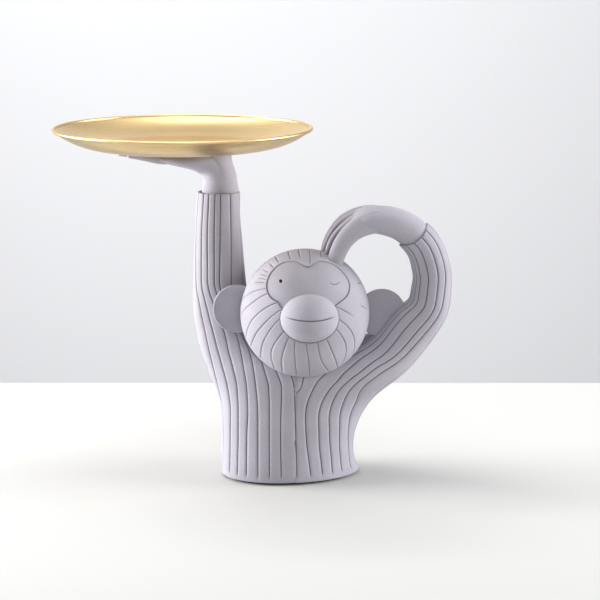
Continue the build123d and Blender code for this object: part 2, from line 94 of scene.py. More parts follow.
# %% Node helpers
def fill(tree, node, sockets):
    """Sets the inputs of a node: a value is set, a socket is linked."""
    for key, value in sockets.items():
        if isinstance(value, bpy.types.NodeSocket):
            tree.links.new(value, node.inputs[key])
        else:
            node.inputs[key].default_value = value
    return node


def add_node(tree, kind, sockets=(), **settings):
    """Adds a node, sets its properties, then its inputs."""
    node = tree.nodes.new(kind)
    for key, value in settings.items():
        setattr(node, key, value)
    return fill(tree, node, dict(sockets))


def new_finish(name):
    """Makes a material; returns it with its tree, its shader and the place on the object."""
    finish = bpy.data.materials.new(name)
    finish.use_nodes = True
    tree = finish.node_tree
    place = add_node(tree, "ShaderNodeTexCoord").outputs["Object"]
    return finish, tree, tree.nodes["Principled BSDF"], place


def srgb(red, green, blue):
    """Colour as seen on a screen, turned into the linear numbers that the shader wants."""
    channels = [c / 255 for c in (red, green, blue)]
    return [c / 12.92 if c <= 0.04045 else ((c + 0.055) / 1.055) ** 2.4 for c in channels] + [1.0]


# %% Patterns
def noise(tree, place, scale, detail):
    """Cloudy pattern."""
    sockets = {"Vector": place, "Scale": scale, "Detail": detail}
    return add_node(tree, "ShaderNodeTexNoise", sockets).outputs["Fac"]


def two_tones(tree, share, low, high, dark, light):
    """Colour that goes from dark, where share is low, to light, where it is high."""
    blend = add_node(tree, "ShaderNodeValToRGB", {"Fac": share})
    for stop, position, colour in zip(blend.color_ramp.elements, (low, high), (dark, light)):
        stop.position = position
        stop.color = colour
    return blend.outputs["Color"]


def tinted(colour, share):
    """A colour made darker or lighter."""
    return [min(1, share * c) for c in colour[:3]] + [1]


def spread_out(tree, share, low, high):
    """Takes a pattern from 0..1 to low..high."""
    sockets = {"Value": share, "To Min": low, "To Max": high}
    return add_node(tree, "ShaderNodeMapRange", sockets).outputs["Result"]


def bumps(tree, height, strength, distance):
    """Normal of a surface with a pattern raised on it."""
    sockets = {"Height": height, "Strength": strength, "Distance": distance}
    return add_node(tree, "ShaderNodeBump", sockets).outputs["Normal"]


# %% [markdown]
# ## Cast resin
# The real figure is cast in a filled resin and left matte: lilac grey, with a sandy grain about as
# fine as a sheet of sandpaper. One way would be a painted texture. Noise is better here, because it
# has no seams and no picture. A coarse noise shifts the colour a little, a fine one raises the
# grain, and painted shade darkens the cut grooves and other hollows. How much painted shade a point
# gets is stored on the mesh, in a point attribute.

# %% Resin finish
RESIN_COLOUR = srgb(182, 178, 188)
# colour of the painted shade in grooves, pits, creases and along the edge of the mask
PAINTED_SHADE_COLOUR = srgb(84, 79, 90)
DUST_COLOURS = [(0.86, 0.86, 0.87, 1), (1, 1, 1, 1)]


def resin_finish(name):
    """Clouds of two tones, fine dust over them, and painted shade in the grooves and other hollows."""
    finish, tree, shader, place = new_finish(name)
    cloud = noise(tree, place, scale=38.0, detail=5.0)
    sand = noise(tree, place, scale=1250.0, detail=3.0)
    speck = add_node(tree, "ShaderNodeTexVoronoi", {"Vector": place, "Scale": 620.0})
    tone = two_tones(tree, cloud, 0.3, 0.72, tinted(RESIN_COLOUR, 0.93), tinted(RESIN_COLOUR, 1.05))
    dust = two_tones(tree, sand, 0.35, 0.7, *DUST_COLOURS)
    layers = {"Factor": 1.0, "A": tone, "B": dust}
    sandy = add_node(tree, "ShaderNodeMix", layers, data_type="RGBA", blend_type="MULTIPLY")
    # how much painted shade each point gets, as stored on the mesh
    painted_shade = add_node(tree, "ShaderNodeAttribute", attribute_name="painted_shade").outputs["Fac"]
    layers = {"Factor": painted_shade, "A": sandy.outputs["Result"], "B": PAINTED_SHADE_COLOUR}
    shaded = add_node(tree, "ShaderNodeMix", layers, data_type="RGBA")
    grain = {0: speck.outputs["Distance"], 1: 0.35, 2: sand}
    grain = add_node(tree, "ShaderNodeMath", grain, operation="MULTIPLY_ADD").outputs[0]
    fill(tree, shader, {
        "Base Color": shaded.outputs["Result"],
        "Normal": bumps(tree, grain, strength=0.35, distance=0.0003),
        "Roughness": spread_out(tree, sand, 0.72, 0.92),
        "Specular IOR Level": 0.3,
    })
    return finish


resin = resin_finish("lilac_grey_resin")
print("resin colour", [round(c, 3) for c in RESIN_COLOUR])

# %% [markdown]
# ## Skins from rows of points
# Limbs, head and dish are all skins: rows of points, joined to the next row by quads. Sculpting by
# hand would give softer forms, but rows can put a column of points exactly where a groove runs, so
# that each cut stays crisp.


# %% Mesh from rows
def new_piece(name, points, faces, finish, painted_shade=None):
    """Links a mesh to the scene. A skin has a painted shade value for each point and is smooth."""
    mesh = bpy.data.meshes.new(name)
    mesh.from_pydata(points, [], faces)
    mesh.validate()
    if painted_shade is not None:
        mesh.attributes.new("painted_shade", "FLOAT", "POINT").data.foreach_set("value", painted_shade)
        mesh.shade_smooth()
    mesh.materials.append(finish)
    piece = bpy.data.objects.new(name, mesh)
    bpy.context.scene.collection.objects.link(piece)
    return piece


def grid_faces(count, width, turns):
    """Quads between rows of points. With as many turns as points, each row closes on itself."""
    faces = []
    for i in range(count - 1):
        for j in range(turns):
            k = (j + 1) % width
            faces.append((i * width + j, i * width + k, (i + 1) * width + k, (i + 1) * width + j))
    return faces


def skin(name, rows, painted_shade=None, closed=True, caps=(True, True), finish=resin):
    """Joins rows of points (millimetres) into a smooth mesh. Caps close the first and last row."""
    count, width = rows.shape[:2]
    turns = width if closed else width - 1
    points = [tuple(p) for p in (MM * rows.reshape(-1, 3)).tolist()]
    faces = grid_faces(count, width, turns)
    for wanted, row in zip(caps, (0, count - 1)):
        if wanted:
            centre = len(points)
            points.append(tuple(MM * rows[row].mean(axis=0)))
            for j in range(turns):
                edge = (row * width + j, row * width + (j + 1) % width, centre)
                faces.append(edge if row else edge[::-1])
    # painted shade for each point of the rows; the middles of the caps get none
    depth = np.zeros(len(points), np.float32)
    if painted_shade is not None:
        depth[: count * width] = painted_shade.reshape(-1)
    return new_piece(name, points, faces, finish, depth)


# %% [markdown]
# A few rows of a table stand for a whole limb, so a curve fills in the rows between them. One curve
# bends as smoothly as it can, for limbs and fingers. The other never swings past the numbers of the
# table, for sections that change fast. Small helpers measure along a line and blend between values.


# %% Curves through a table
def smooth_rows(table, count):
    """Natural cubic curve through the rows of a table whose first three numbers are a place."""
    knots = np.array(table, float)
    spans = np.linalg.norm(np.diff(knots[:, :3], axis=0), axis=1)
    at = np.concatenate([[0], np.cumsum(spans)])
    system, right = np.eye(len(at)), np.zeros_like(knots)
    for i in range(1, len(at) - 1):
        system[i, i - 1 : i + 2] = spans[i - 1], 2 * (spans[i - 1] + spans[i]), spans[i]
        rise = (knots[i + 1] - knots[i]) / spans[i] - (knots[i] - knots[i - 1]) / spans[i - 1]
        right[i] = 6 * rise
    bend = np.linalg.solve(system, right)
    along = np.linspace(0, at[-1], count)
    i = np.clip(np.searchsorted(at, along, side="right") - 1, 0, len(at) - 2)
    a = ((at[i + 1] - along) / spans[i])[:, None]
    b = 1 - a
    curl = ((a**3 - a) * bend[i] + (b**3 - b) * bend[i + 1]) * (spans[i] ** 2)[:, None] / 6
    return a * knots[i] + b * knots[i + 1] + curl


def steady_rows(table, count):
    """Curve through the rows of a table that never swings past them, spaced by height."""
    knots = np.array(table, float)
    at = knots[:, 2]
    spans = np.diff(at)
    slope = np.diff(knots, axis=0) / spans[:, None]
    tangent = np.concatenate([slope[:1], 0 * slope[1:], slope[-1:]])
    inner = slope[:-1] * slope[1:]
    mean = np.where(inner > 0, 2 * inner / np.where(inner > 0, slope[:-1] + slope[1:], 1), 0)
    tangent[1:-1] = mean
    along = np.linspace(at[0], at[-1], count)
    i = np.clip(np.searchsorted(at, along, side="right") - 1, 0, len(at) - 2)
    t = ((along - at[i]) / spans[i])[:, None]
    h = spans[i][:, None]
    return (
        (2 * t**3 - 3 * t**2 + 1) * knots[i]
        + (t**3 - 2 * t**2 + t) * h * tangent[i]
        + (3 * t**2 - 2 * t**3) * knots[i + 1]
        + (t**3 - t**2) * h * tangent[i + 1]
    )


def ramp(value, low, high):
    """Smooth step from 0 at low to 1 at high."""
    t = np.clip((value - low) / (high - low), 0, 1)
    return t * t * (3 - 2 * t)


def run_along(points):
    """How far along a line of points each of them lies."""
    return np.concatenate([[0], np.cumsum(np.linalg.norm(np.diff(points, axis=0), axis=1))])


def direction(vectors):
    """Vectors brought to length one."""
    return vectors / np.linalg.norm(vectors, axis=-1, keepdims=True)


# %% [markdown]
# ## Grooved limbs
# Body and sleeves are one casting, carved with long lines that follow each arm down to the foot.
# They could be drawn with a bump texture, but at the outline a cut shows as a nick, so they are real
# V cuts. Every cross-section is an oval. Its columns of points are spread so that seven of them fall
# on each groove, from one lip over the bottom to the other lip, and three lie between two grooves.

# %% Oval sections
GROOVE_HALF_WIDTH = 0.7
LIP_STEPS = np.array([-1.0, -0.72, -0.36, 0.0, 0.36, 0.72])
LIP_DEPTHS = np.array([0.0, 0.22, 0.78, 1.0, 0.78, 0.22])
LIP_SHARE = 0.3
BETWEEN = np.array([0.0, 0.25, 0.5, 0.75])


def oval(row, angles, inward=0.0):
    """Points of one section. A row is x, y, z, right width, left width, depth, lean, turn.

    Three more numbers give the back half its own crest, right width and depth."""
    centre, (right, left, depth, lean, turn) = row[:3], row[3:8]
    shift = 0.0 * angles
    if len(row) > 8:
        behind = np.sin(angles) > 0
        shift = np.where(behind, row[8] - row[0], 0.0)
        right = np.where(behind, row[9], right)
        left = left + shift
        depth = np.where(behind, row[10], depth)
    lean, turn = math.radians(lean), math.radians(turn)
    across = np.array([math.cos(lean) * math.cos(turn), math.sin(turn), -math.sin(lean)])
    along = np.array([math.sin(lean), 0, math.cos(lean)])
    across /= np.linalg.norm(across)
    back = np.cross(along, across)
    width = np.where(np.cos(angles) > 0, right, left)
    normal = direction(np.stack([np.cos(angles) / width, np.sin(angles) / depth], axis=1))
    flat = np.stack([shift + width * np.cos(angles), depth * np.sin(angles)], axis=1)
    flat -= normal * np.reshape(inward, (-1, 1))
    return centre + flat[:, :1] * across + flat[:, 1:] * back


def groove_columns(row, lines):
    """Angles and groove weights of the columns of one section, for grooves at the given angles."""
    width = np.where(np.cos(lines) > 0, row[3], row[4])
    half = GROOVE_HALF_WIDTH / np.hypot(width * np.sin(lines), row[5] * np.cos(lines))
    following = np.roll(lines, -1)
    following[-1] += FULL_TURN
    angles, weights = [], []
    for line, lip, after, lip_after in zip(lines, half, following, np.roll(half, -1)):
        widest = LIP_SHARE * (after - line)
        lip = min(lip, widest)
        start, stop = line + lip, after - min(lip_after, widest)
        angles += list(line + LIP_STEPS * lip) + list(start + BETWEEN * (stop - start))
        weights += list(LIP_DEPTHS) + [0.0] * len(BETWEEN)
    return np.array(angles), np.array(weights)


# %% [markdown]
# The grooves start a few millimetres above the foot. Where one limb runs under the other it is sunk,
# so that the two skins don't fight. At the cuff the skin turns in on the wrist in a crisp rim, which
# may stay short of the limb's last row by a different length all round.

# %% Limbs with a foot and a cuff
GROOVE_DEPTH = 0.85
GROOVE_START = (5.5, 9.0)
COVER_DEPTH = 1.8
FOOT_HEIGHT = 2.0
FOOT_EDGE = 1.4
FOOT_SHARES = (0.1, 0.3, 0.6)
SLEEVE_THICKNESS = 2.2
# rows of the rim: how far ahead of the cuff, share of the way in, and painted shade beside the grooves
RIM_STEPS = [(0.3, 0.04), (0.5, 0.2), (0.3, 1.0), (-0.8, 1.0)]
RIM_GROOVES = 0.6
RIM_SHADE = 0.8


def grooved_limb(rows, line_angles, hidden=None):
    """Skin points and painted shade weights of a limb. line_angles gives, for each row, sorted angles.

    hidden says how far each point lies under another limb, from 0 to 1, and sinks it there."""
    places, weights = [], []
    for row, lines, depth in zip(rows, line_angles, ramp(rows[:, 2], *GROOVE_START)):
        angles, weight = groove_columns(row, lines)
        under = COVER_DEPTH * hidden(oval(row, angles)) if hidden else 0
        places.append(oval(row, angles, inward=GROOVE_DEPTH * depth * weight + under))
        # painted shade, darkest at the bottom of each cut
        weights.append(weight**2 * depth)
    return np.array(places), np.array(weights)


def limb_rows(table, count, curve=smooth_rows):
    """Dense rows of a limb. Extra ones, taken in, give the foot a rounded edge."""
    rows = curve(table, count)
    edge = [rows[0] + share * (rows[1] - rows[0]) for share in FOOT_SHARES]
    rows = np.array([rows[0], *edge, *rows[1:]])
    rise = np.clip((rows[:, 2] - FOOT_HEIGHT) / FOOT_EDGE, 0, 1)
    rows[:, 3:6] -= (FOOT_EDGE * (1 - np.sqrt(1 - (1 - rise) ** 2)))[:, None]
    return rows


def cuff_end(rows, angles, ends, back_from, hidden=None):
    """Skin and painted shade weights of a limb that stops ends millimetres short of its last row.

    The rows are drawn together over the last stretch, which is back_from millimetres long."""
    places, weights = grooved_limb(rows, angles, hidden)
    inner = [oval(row, groove_columns(row, line)[0], SLEEVE_THICKNESS) for row, line in zip(rows, angles)]
    inner = np.array(inner)
    along = run_along(rows[:, :3])
    bend_from = along[-1] - back_from
    last = along > bend_from
    for j, end in enumerate(np.broadcast_to(ends, places.shape[1])):
        wanted = along.copy()
        wanted[last] = bend_from + (wanted[last] - bend_from) * (back_from - end) / back_from
        for grid in (places, inner):
            for axis in range(3):
                grid[:, j, axis] = np.interp(wanted, along, grid[:, j, axis])
    heading = direction(places[-1] - places[-2])
    inward = inner[-1] - places[-1]
    rim = [places[-1] + ahead * heading + share * inward for ahead, share in RIM_STEPS]
    # painted shade on the rim, where the sleeve turns in on the wrist
    shades = [weights[-1], RIM_GROOVES * weights[-1], 0 * weights[-1] + RIM_SHADE]
    return np.concatenate([places, rim]), np.concatenate([weights, shades, shades[-1:]])


# %% [markdown]
# The left family of lines starts across the left half of the foot and climbs into the raised arm.
# Its section is a wide half oval at the foot, whose right side hides in the other limb, and closes to
# a round sleeve above the shoulder. Each front line is given by its place across at a few heights,
# and each back line by one angle at the foot and another on the sleeve.

# %% Sections and lines of the raised limb
# place of the crest, width to the right and to the left of it, half depth, lean, turn, and for the
# back half its crest, right width and depth
RAISED_ROWS = [
    (-4.4, 0, 2, 16, 53.3, 38.7, 0, 12, -4.4, 16, 38.7),
    (-4.0, 0, 11, 16, 54.0, 38.4, 0, 12, -4.0, 16, 38.4),
    (-2.5, 0, 22, 16, 55.1, 37.9, 0, 9.6, -2.5, 16, 37.9),
    (-0.5, 0, 41, 15, 57.3, 37.3, 0, 7.2, -1.5, 16, 37.2),
    (1.2, 0, 60, 14, 59.6, 36.4, 0, 5, -7.0, 15, 34.8),
    (2.0, 0.3, 76, 13, 65.1, 35.5, 0, 3, -22.0, 17, 30.0),
    (1.0, 0.8, 88, 12, 68.8, 34.2, 0, 1.5, -38.0, 24, 27.6),
    (-3.0, 1.6, 95, 11, 67.6, 32.8, 0, 0.5, -43.0, 26, 27.3),
    (-9.0, 1.8, 98, 8, 62.7, 31.6, 0, 0, -44.6, 26.5, 27.0),
    (-22.0, 2.0, 101, 5, 50.8, 28.5, 0, 0, -46.0, 26.6, 26.8),
    (-30.0, 2.4, 105, 8, 44.0, 27.4, 0, 0, -47.4, 26.3, 26.4),
    (-40.0, 3.0, 112, 14.5, 35.9, 25.8, 0, 0, -50.2, 25.4, 25.5),
    (-49.0, 3.6, 119.6, 20.7, 28.5, 24.3, 0, 0, -53.0, 24.7, 24.4),
    (-56.5, 4.8, 142, 22.1, 23.7, 21.5, 0, 0, -57.3, 22.9, 21.5),
    (-58.6, 6, 164, 21.4, 21.4, 20.0, 0, 0, -58.6, 21.4, 20.0),
    (-59.2, 6, 194, 19.6, 19.6, 18.5, 0, 0, -59.2, 19.6, 18.5),
    (-59.4, 6, 214.1, 18.1, 18.1, 17.2, 0, 0, -59.4, 18.1, 17.2),
    (-58.5, 6, 234.0, 17.4, 17.4, 16.5, 0, 0, -58.5, 17.4, 16.5),
]
# front lines, from the outer side to the border between the limbs: place across at each height
RAISED_LINE_HEIGHTS = (2, 40, 60, 80, 95, 108, 121, 140, 164, 196, 234)
RAISED_LINES = [
    (-56.4, -55.6, -56.6, -60.4, -64.0, -67.0, -69.5, -73.5, -77.3, -77.1, -74.5),
    (-50.4, -49.6, -49.4, -51.8, -55.8, -59.3, -62.5, -67.5, -72.6, -72.3, -70.2),
    (-44.0, -43.0, -42.9, -43.8, -47.0, -50.5, -53.2, -60.0, -67.3, -67.4, -65.8),
    (-36.3, -35.9, -35.0, -35.8, -38.2, -40.6, -44.0, -53.5, -61.8, -61.8, -60.8),
    (-26.8, -26.8, -26.8, -28.3, -30.3, -33.5, -39.5, -49.0, -57.6, -57.0, -56.5),
    (-17.5, -17.5, -17.4, -17.9, -21.6, -26.5, -33.5, -41.5, -47.9, -48.1, -48.6),
    (-7.8, -8.4, -8.1, -7.6, -12.2, -20.5, -29.5, -36.2, -39.0, -40.6, -42.0),
    (4.9, 4.0, 3.4, 2.6, -1.6, -19.0, -28.6, -35.2, -37.5, -39.8, -41.2),
]
# back lines: angle at the foot and on the sleeve
RAISED_BACK = [
    (171, 174), (160, 156), (149, 137), (139, 118), (129, 98), (119, 79), (108, 58), (98, 37), (90, 16),
]
print("raised limb:", len(RAISED_ROWS), "sections,", len(RAISED_LINES) + len(RAISED_BACK), "lines")

# %% Raised limb
STEEPEST_COSINE = 0.998
FRONT_LIMITS = (0.05, 3.09)
LEAST_ANGLE = 0.05
BACK_TURN_HEIGHTS = (55, 135)
RAISED_CUFF = 14.0

rows = limb_rows(RAISED_ROWS, count=130, curve=steady_rows)
heights, turned = rows[:, 2], np.radians(rows[:, 7])
front = []
for line in RAISED_LINES:
    dense = steady_rows([(x, 0, z) for x, z in zip(line, RAISED_LINE_HEIGHTS)], count=300)
    line_across = np.interp(heights, dense[:, 2], dense[:, 0])
    across = line_across - rows[:, 0]
    deep = rows[:, 5] * np.sin(turned)
    wide = np.where(across > deep, rows[:, 3], rows[:, 4]) * np.cos(turned)
    swing = np.arccos(np.clip(across / np.hypot(wide, deep), -STEEPEST_COSINE, STEEPEST_COSINE))
    front.append(-np.clip(np.arctan2(deep, wide) + swing, *FRONT_LIMITS))
front = np.array(front).T
for k in range(1, front.shape[1]):
    front[:, k] = np.maximum(front[:, k], front[:, k - 1] + LEAST_ANGLE)
at_foot, on_sleeve = np.radians(sorted(RAISED_BACK)).T
back = at_foot + ramp(heights, *BACK_TURN_HEIGHTS)[:, None] * (on_sleeve - at_foot)
# the last front line is the border, where the other limb comes out from under this one
border, border_heights = line_across, heights
places, weights = cuff_end(rows, np.concatenate([front, back], axis=1), 0, RAISED_CUFF)
raised_limb = skin("raised_limb", places, weights)
print("raised limb", places.shape)

# %% [markdown]
# The right family climbs into the looping arm. The sleeve ends where the round heel of the hand
# pushes into it, so its rim is not square: on the front it stays ten millimetres short of the row
# where it ends on the inside of the loop.

# %% Sections and lines of the looping limb
LOOPING_ROWS = [
    (0.0, 0, 2.0, 57.7, 57.7, 38.6, 0, 12),
    (-2.2, 0, 11.0, 55.8, 55.8, 38.2, 0, 12),
    (-2.8, 0, 21.6, 54.8, 54.8, 37.6, 0, 9.6),
    (-1.7, 0, 41.3, 55.9, 55.9, 37.1, 3, 7.2),
    (7.3, 0, 73.9, 59.1, 59.1, 34.9, 14, 3.6),
    (53.5, 0, 93.1, 32.8, 32.8, 29.6, 31, 0),
    (82.1, -2.0, 105.5, 21.6, 21.6, 22.8, 42, 0),
    (95.1, -3.6, 120.3, 20.6, 20.6, 20.1, 39, 0),
    (104.4, -5.0, 132.1, 19.3, 19.3, 18.2, 33, 0),
    (112.1, -6.6, 144.1, 17.3, 17.3, 17.0, 15, 0),
    (113.8, -8.2, 156.1, 16.7, 16.7, 16.2, 2, 0),
    (114.1, -9.6, 168.9, 15.9, 15.9, 15.7, -9, 0),
    (111.4, -11.2, 181.3, 15.5, 15.5, 15.5, -22, 0),
    (105.3, -13.9, 195.2, 15.0, 15.0, 15.4, -40, 0),
    (94.35, -16.5, 206.4, 14.2, 14.2, 15.3, -58, 0),
]
# angle of each line from the outer side, at the stations, in millimetres along the limb
LOOPING_STATIONS = (0, 20, 42, 60, 77, 100, 122, 145, 174, 212, 250, 298)
LOOPING_LINES = [
    (18, 16, 17, 19, 20, 24, 30, 33, 31, 26, 15, 20),
    (34.5, 29, 34.5, 39.5, 42, 52.5, 63, 71, 66, 57, 46, 48),
    (49, 44.5, 47.3, 52, 55.5, 64, 74.5, 86, 84, 79, 74, 80),
    (60.5, 55.8, 58.7, 62.7, 65.5, 73.5, 85, 100.5, 108, 106, 104, 104),
    (70.5, 67, 69, 72, 74, 82, 99, 120, 132, 131, 131, 133),
    (81, 78.3, 80.5, 83, 85.5, 97, 113, 133, 147, 147, 146, 150),
    (95, 92, 93, 94, 95, 112, 129, 147, 159, 160, 160, 163),
    (106, 104, 104, 105, 110, 130, 145, 158, 167, 170, 170, 172),
    (117, 116, 116, 118, 124, 142, 156, 166, 174, 177, 177, 178),
]
# how much farther round each line lies on the back, in degrees
BACK_JITTER = (2.0, 2.5, 1.5, 3.0, 2.0, 3.5, 2.0, 1.5, 0.5)
print("looping limb:", len(LOOPING_ROWS), "sections,", len(LOOPING_LINES) + len(BACK_JITTER), "lines")

# %% [markdown]
# One line follows the border between the limbs up to where they part. Below, this limb is sunk
# wherever the raised one covers it: on the front as far as the border, on the back as far as a
# slanting line.

# %% Border between the limbs
BORDER_LINE = 6
BORDER_LEFT = (70, 82)
COVER_FADE = (0.0, 3.0)
COVER_TOP = (92, 98)
BACK_BORDER = -25
BACK_BORDER_SLANT = 0.9
BACK_COVER_FADE = (-28, -18)
BACK_COVER_TOP = (60, 80)


def under_raised_limb(points):
    """1 where the raised limb covers a point of this one, 0 beyond the border between them."""
    across, deep, height = points.T
    past = np.interp(height, border_heights, border) - across
    front = ramp(past, *COVER_FADE) * (1 - ramp(height, *COVER_TOP))
    past = BACK_BORDER - BACK_BORDER_SLANT * (height - BACK_COVER_TOP[0]) - across
    behind = ramp(past, *BACK_COVER_FADE) * (1 - ramp(height, *BACK_COVER_TOP))
    return np.where(deep < 0, front, behind)


def border_angle(row):
    """Angle at which a section crosses the border of the raised limb."""
    trial = np.radians(np.linspace(30, 150, 241))
    points = oval(row, -trial)
    return np.interp(0, np.interp(points[:, 2], border_heights, border) - points[:, 0], trial)


# %% Looping limb
LOOPING_CUFF = 30.0
# from the inside of the loop, -1, to its outside, 1: how far the rim stays short
RIM_SIDES = [-1, -0.8, -0.3, 0.4, 1]
RIM_ENDS = [0.5, 3.5, 9.5, 10.5, 8.0]

rows = limb_rows(LOOPING_ROWS, count=170)
climb = run_along(rows[:, :3])
front = []
for angles in LOOPING_LINES:
    knots = [(angle, 0, station) for angle, station in zip(angles, LOOPING_STATIONS)]
    dense = steady_rows(knots, count=240)
    front.append(np.radians(np.interp(climb, dense[:, 2], dense[:, 0])))
along_border = 1 - ramp(climb, *BORDER_LEFT)
front[BORDER_LINE] *= 1 - along_border
front[BORDER_LINE] += along_border * np.array([border_angle(row) for row in rows])
back = [line + math.radians(jitter) for line, jitter in zip(front, BACK_JITTER)]
lines = np.array([-line for line in front[::-1]] + back).T
columns = groove_columns(rows[-1], lines[-1])[0]
rim_ends = np.interp(np.cos(columns), RIM_SIDES, RIM_ENDS)
places, weights = cuff_end(rows, lines, rim_ends, LOOPING_CUFF, under_raised_limb)
looping_limb = skin("looping_limb", places, weights)
print("looping limb", places.shape)

# %% [markdown]
# ## Head
# The head is an egg, flat from front to back. Its fur is cut with lines that fan out from the muzzle
# and the mask. Points are easiest to place in a polar grid whose pole sits on the face: each line then
# is one column of the grid. The face itself is left out of this skin; it is set in afterwards, a
# millimetre deeper, so that the fur ends in a real step.

# %% Head frame
HEAD_CENTRE = np.array([11.2, -20.0, 139.6])
HEAD_TURN = math.radians(5)
HEAD_RADIUS = 52.1
HEAD_HALF_DEPTH = 46.0
HEAD_AXES = np.array([HEAD_RADIUS, HEAD_HALF_DEPTH, HEAD_RADIUS])
POLE_RISE = 12
POLE_TILT = math.asin(POLE_RISE / HEAD_RADIUS)
TURNED = np.array([
    [math.cos(HEAD_TURN), math.sin(HEAD_TURN), 0],
    [-math.sin(HEAD_TURN), math.cos(HEAD_TURN), 0],
    [0, 0, 1],
])


def head_to_frame(local):
    """From the head's own axes (right, back, up) to the frame."""
    return HEAD_CENTRE + np.asarray(local, float) @ TURNED


def to_polar(local):
    """Angle from the pole on the face, and angle round it, of points given in the head's axes."""
    unit = direction(np.asarray(local, float) / HEAD_AXES)
    forward = -unit[..., 1] * math.cos(POLE_TILT) + unit[..., 2] * math.sin(POLE_TILT)
    upward = unit[..., 1] * math.sin(POLE_TILT) + unit[..., 2] * math.cos(POLE_TILT)
    return np.arccos(np.clip(forward, -1, 1)), np.arctan2(upward, unit[..., 0])


def from_polar(away, round_angle, lift=0.0):
    """Point of the egg at a polar place, raised by lift along its normal, in the head's axes."""
    forward, upward = np.cos(away), np.sin(away) * np.sin(round_angle)
    unit = np.stack([
        np.sin(away) * np.cos(round_angle),
        -forward * math.cos(POLE_TILT) + upward * math.sin(POLE_TILT),
        forward * math.sin(POLE_TILT) + upward * math.cos(POLE_TILT),
    ], axis=-1)
    return unit * HEAD_AXES + direction(unit / HEAD_AXES) * np.asarray(lift, float)[..., None]


def egg_front(across, height):
    """How far back the egg's front skin lies at a place of the front view."""
    share = 1 - (across**2 + height**2) / HEAD_RADIUS**2
    return -HEAD_HALF_DEPTH * np.sqrt(np.clip(share, 0, 1))


# %% [markdown]
# The outline of the face was measured on the front view: the eye mask with its dip between the brows,
# and below it the oval of the muzzle. The two together make one closed line, smoothed with a curve.

# %% Face outline
MASK_OUTLINE = [
    (20.9, 13.6), (25.3, 16.2), (31.5, 20.7), (33.5, 26.8), (29.8, 35.5), (21.7, 42.5), (13.3, 45.6),
    (6.0, 45.2), (0.3, 42.9), (-5.8, 45.3), (-11.8, 46.0), (-17.4, 45.1), (-22.9, 42.5), (-29.9, 35.5),
    (-32.7, 28.4), (-32.2, 23.1), (-29.7, 19.3), (-24.6, 16.9),
]
MUZZLE_HALF_WIDTH = 23.0
MUZZLE_HALF_HEIGHT = 19.2
MUZZLE_RISE = 4.0
MUZZLE_REACH = 13.0
MUZZLE_TURNS = (157, 389)
muzzle_turns = np.radians(np.linspace(*MUZZLE_TURNS, 24))
muzzle_outline = np.stack([
    MUZZLE_HALF_WIDTH * np.cos(muzzle_turns),
    MUZZLE_RISE + MUZZLE_HALF_HEIGHT * np.sin(muzzle_turns),
], axis=1)


def smooth_line(points, step):
    """Even points on a smooth curve through points."""
    table = np.zeros((len(points), 3))
    table[:, : np.shape(points)[1]] = points
    length = np.linalg.norm(np.diff(table, axis=0), axis=1).sum()
    return smooth_rows(table, max(2, int(length / step)))


mask_line = smooth_line(MASK_OUTLINE, step=0.4)[:, :2]
face_line = np.concatenate([mask_line, muzzle_outline, mask_line[:1]])
face_run = run_along(face_line)
face_back = egg_front(face_line[:, 0], face_line[:, 1])
face_away, face_round = to_polar(np.stack([face_line[:, 0], face_back, face_line[:, 1]], axis=1))
face_round = np.unwrap(face_round)
print("face outline", len(face_line), "points,", round(face_run[-1], 1), "mm round")

# %% [markdown]
# Each cut in the fur was followed from the face outwards. The lines on the chin are long and bend
# under the head, the ones on the crown are short strokes. A long line is written as its places in the
# head's own axes: right, back and up.

# %% Lines of the fur
CHIN_LINES = [
    ((-37.5, -23.6, 24.4), (-45.1, -14.8, 20.0), (-49.8, -6.0, 13.8)),
    ((-35.6, -28.9, 19.3), (-45.4, -20.0, 11.7), (-52.0, -3.1, -1.6)),
    ((-25.7, -37.5, 15.8), (-41.2, -27.9, 4.5), (-47.7, -16.0, -10.4)),
    ((-24.8, -39.7, 8.9), (-37.0, -32.2, -3.7), (-43.5, -19.9, -17.7)),
    ((-27.0, -39.3, -0.7), (-35.3, -30.9, -15.4), (-37.0, -22.5, -26.4)),
    ((-23.2, -40.2, -10.2), (-29.3, -32.1, -23.2), (-28.2, -24.2, -34.2)),
    ((-17.8, -41.3, -14.5), (-20.7, -35.4, -26.0), (-20.5, -24.9, -38.8)),
    ((-11.3, -43.1, -14.2), (-11.2, -38.3, -26.6), (-9.5, -27.7, -40.5)),
    ((-3.1, -44.2, -14.1), (-1.0, -39.6, -26.5), (1.2, -27.0, -42.1)),
    ((5.8, -43.9, -14.3), (9.3, -36.9, -29.7), (14.9, -25.9, -40.4)),
    ((13.7, -42.7, -13.7), (18.2, -37.5, -24.1), (23.5, -24.3, -37.5)),
    ((20.8, -41.9, -4.9), (29.8, -33.0, -20.8), (29.9, -26.7, -30.1)),
    ((23.7, -40.9, 2.1), (32.6, -35.4, -6.6), (36.8, -29.3, -16.0), (37.5, -23.8, -24.1)),
    ((21.5, -40.5, 12.2), (29.2, -37.5, 7.6), (36.9, -32.4, 1.8)),
]
# strokes of the crown: angles round the pole at both ends, then both ends as angles from the pole
CROWN_LINES = [
    (5, 1, 54, 68), (28, 27, 62, 76), (54, 55, 57, 72), (64, 67, 57, 73), (75, 76, 58, 84), (87, 86, 45, 77),
    (97, 96, 54, 76), (107, 105, 57, 80), (119, 117.5, 60, 81), (126.5, 126, 58, 70), (134, 135, 58, 70),
    (138.6, 140, 55, 68), (142.2, 144.4, 53, 66), (146, 149.5, 51, 67),
]
# how far past its last place a long line runs, in radians: the last one stops at once
CHIN_RUN = 0.35
LAST_CHIN_RUN = 0.02

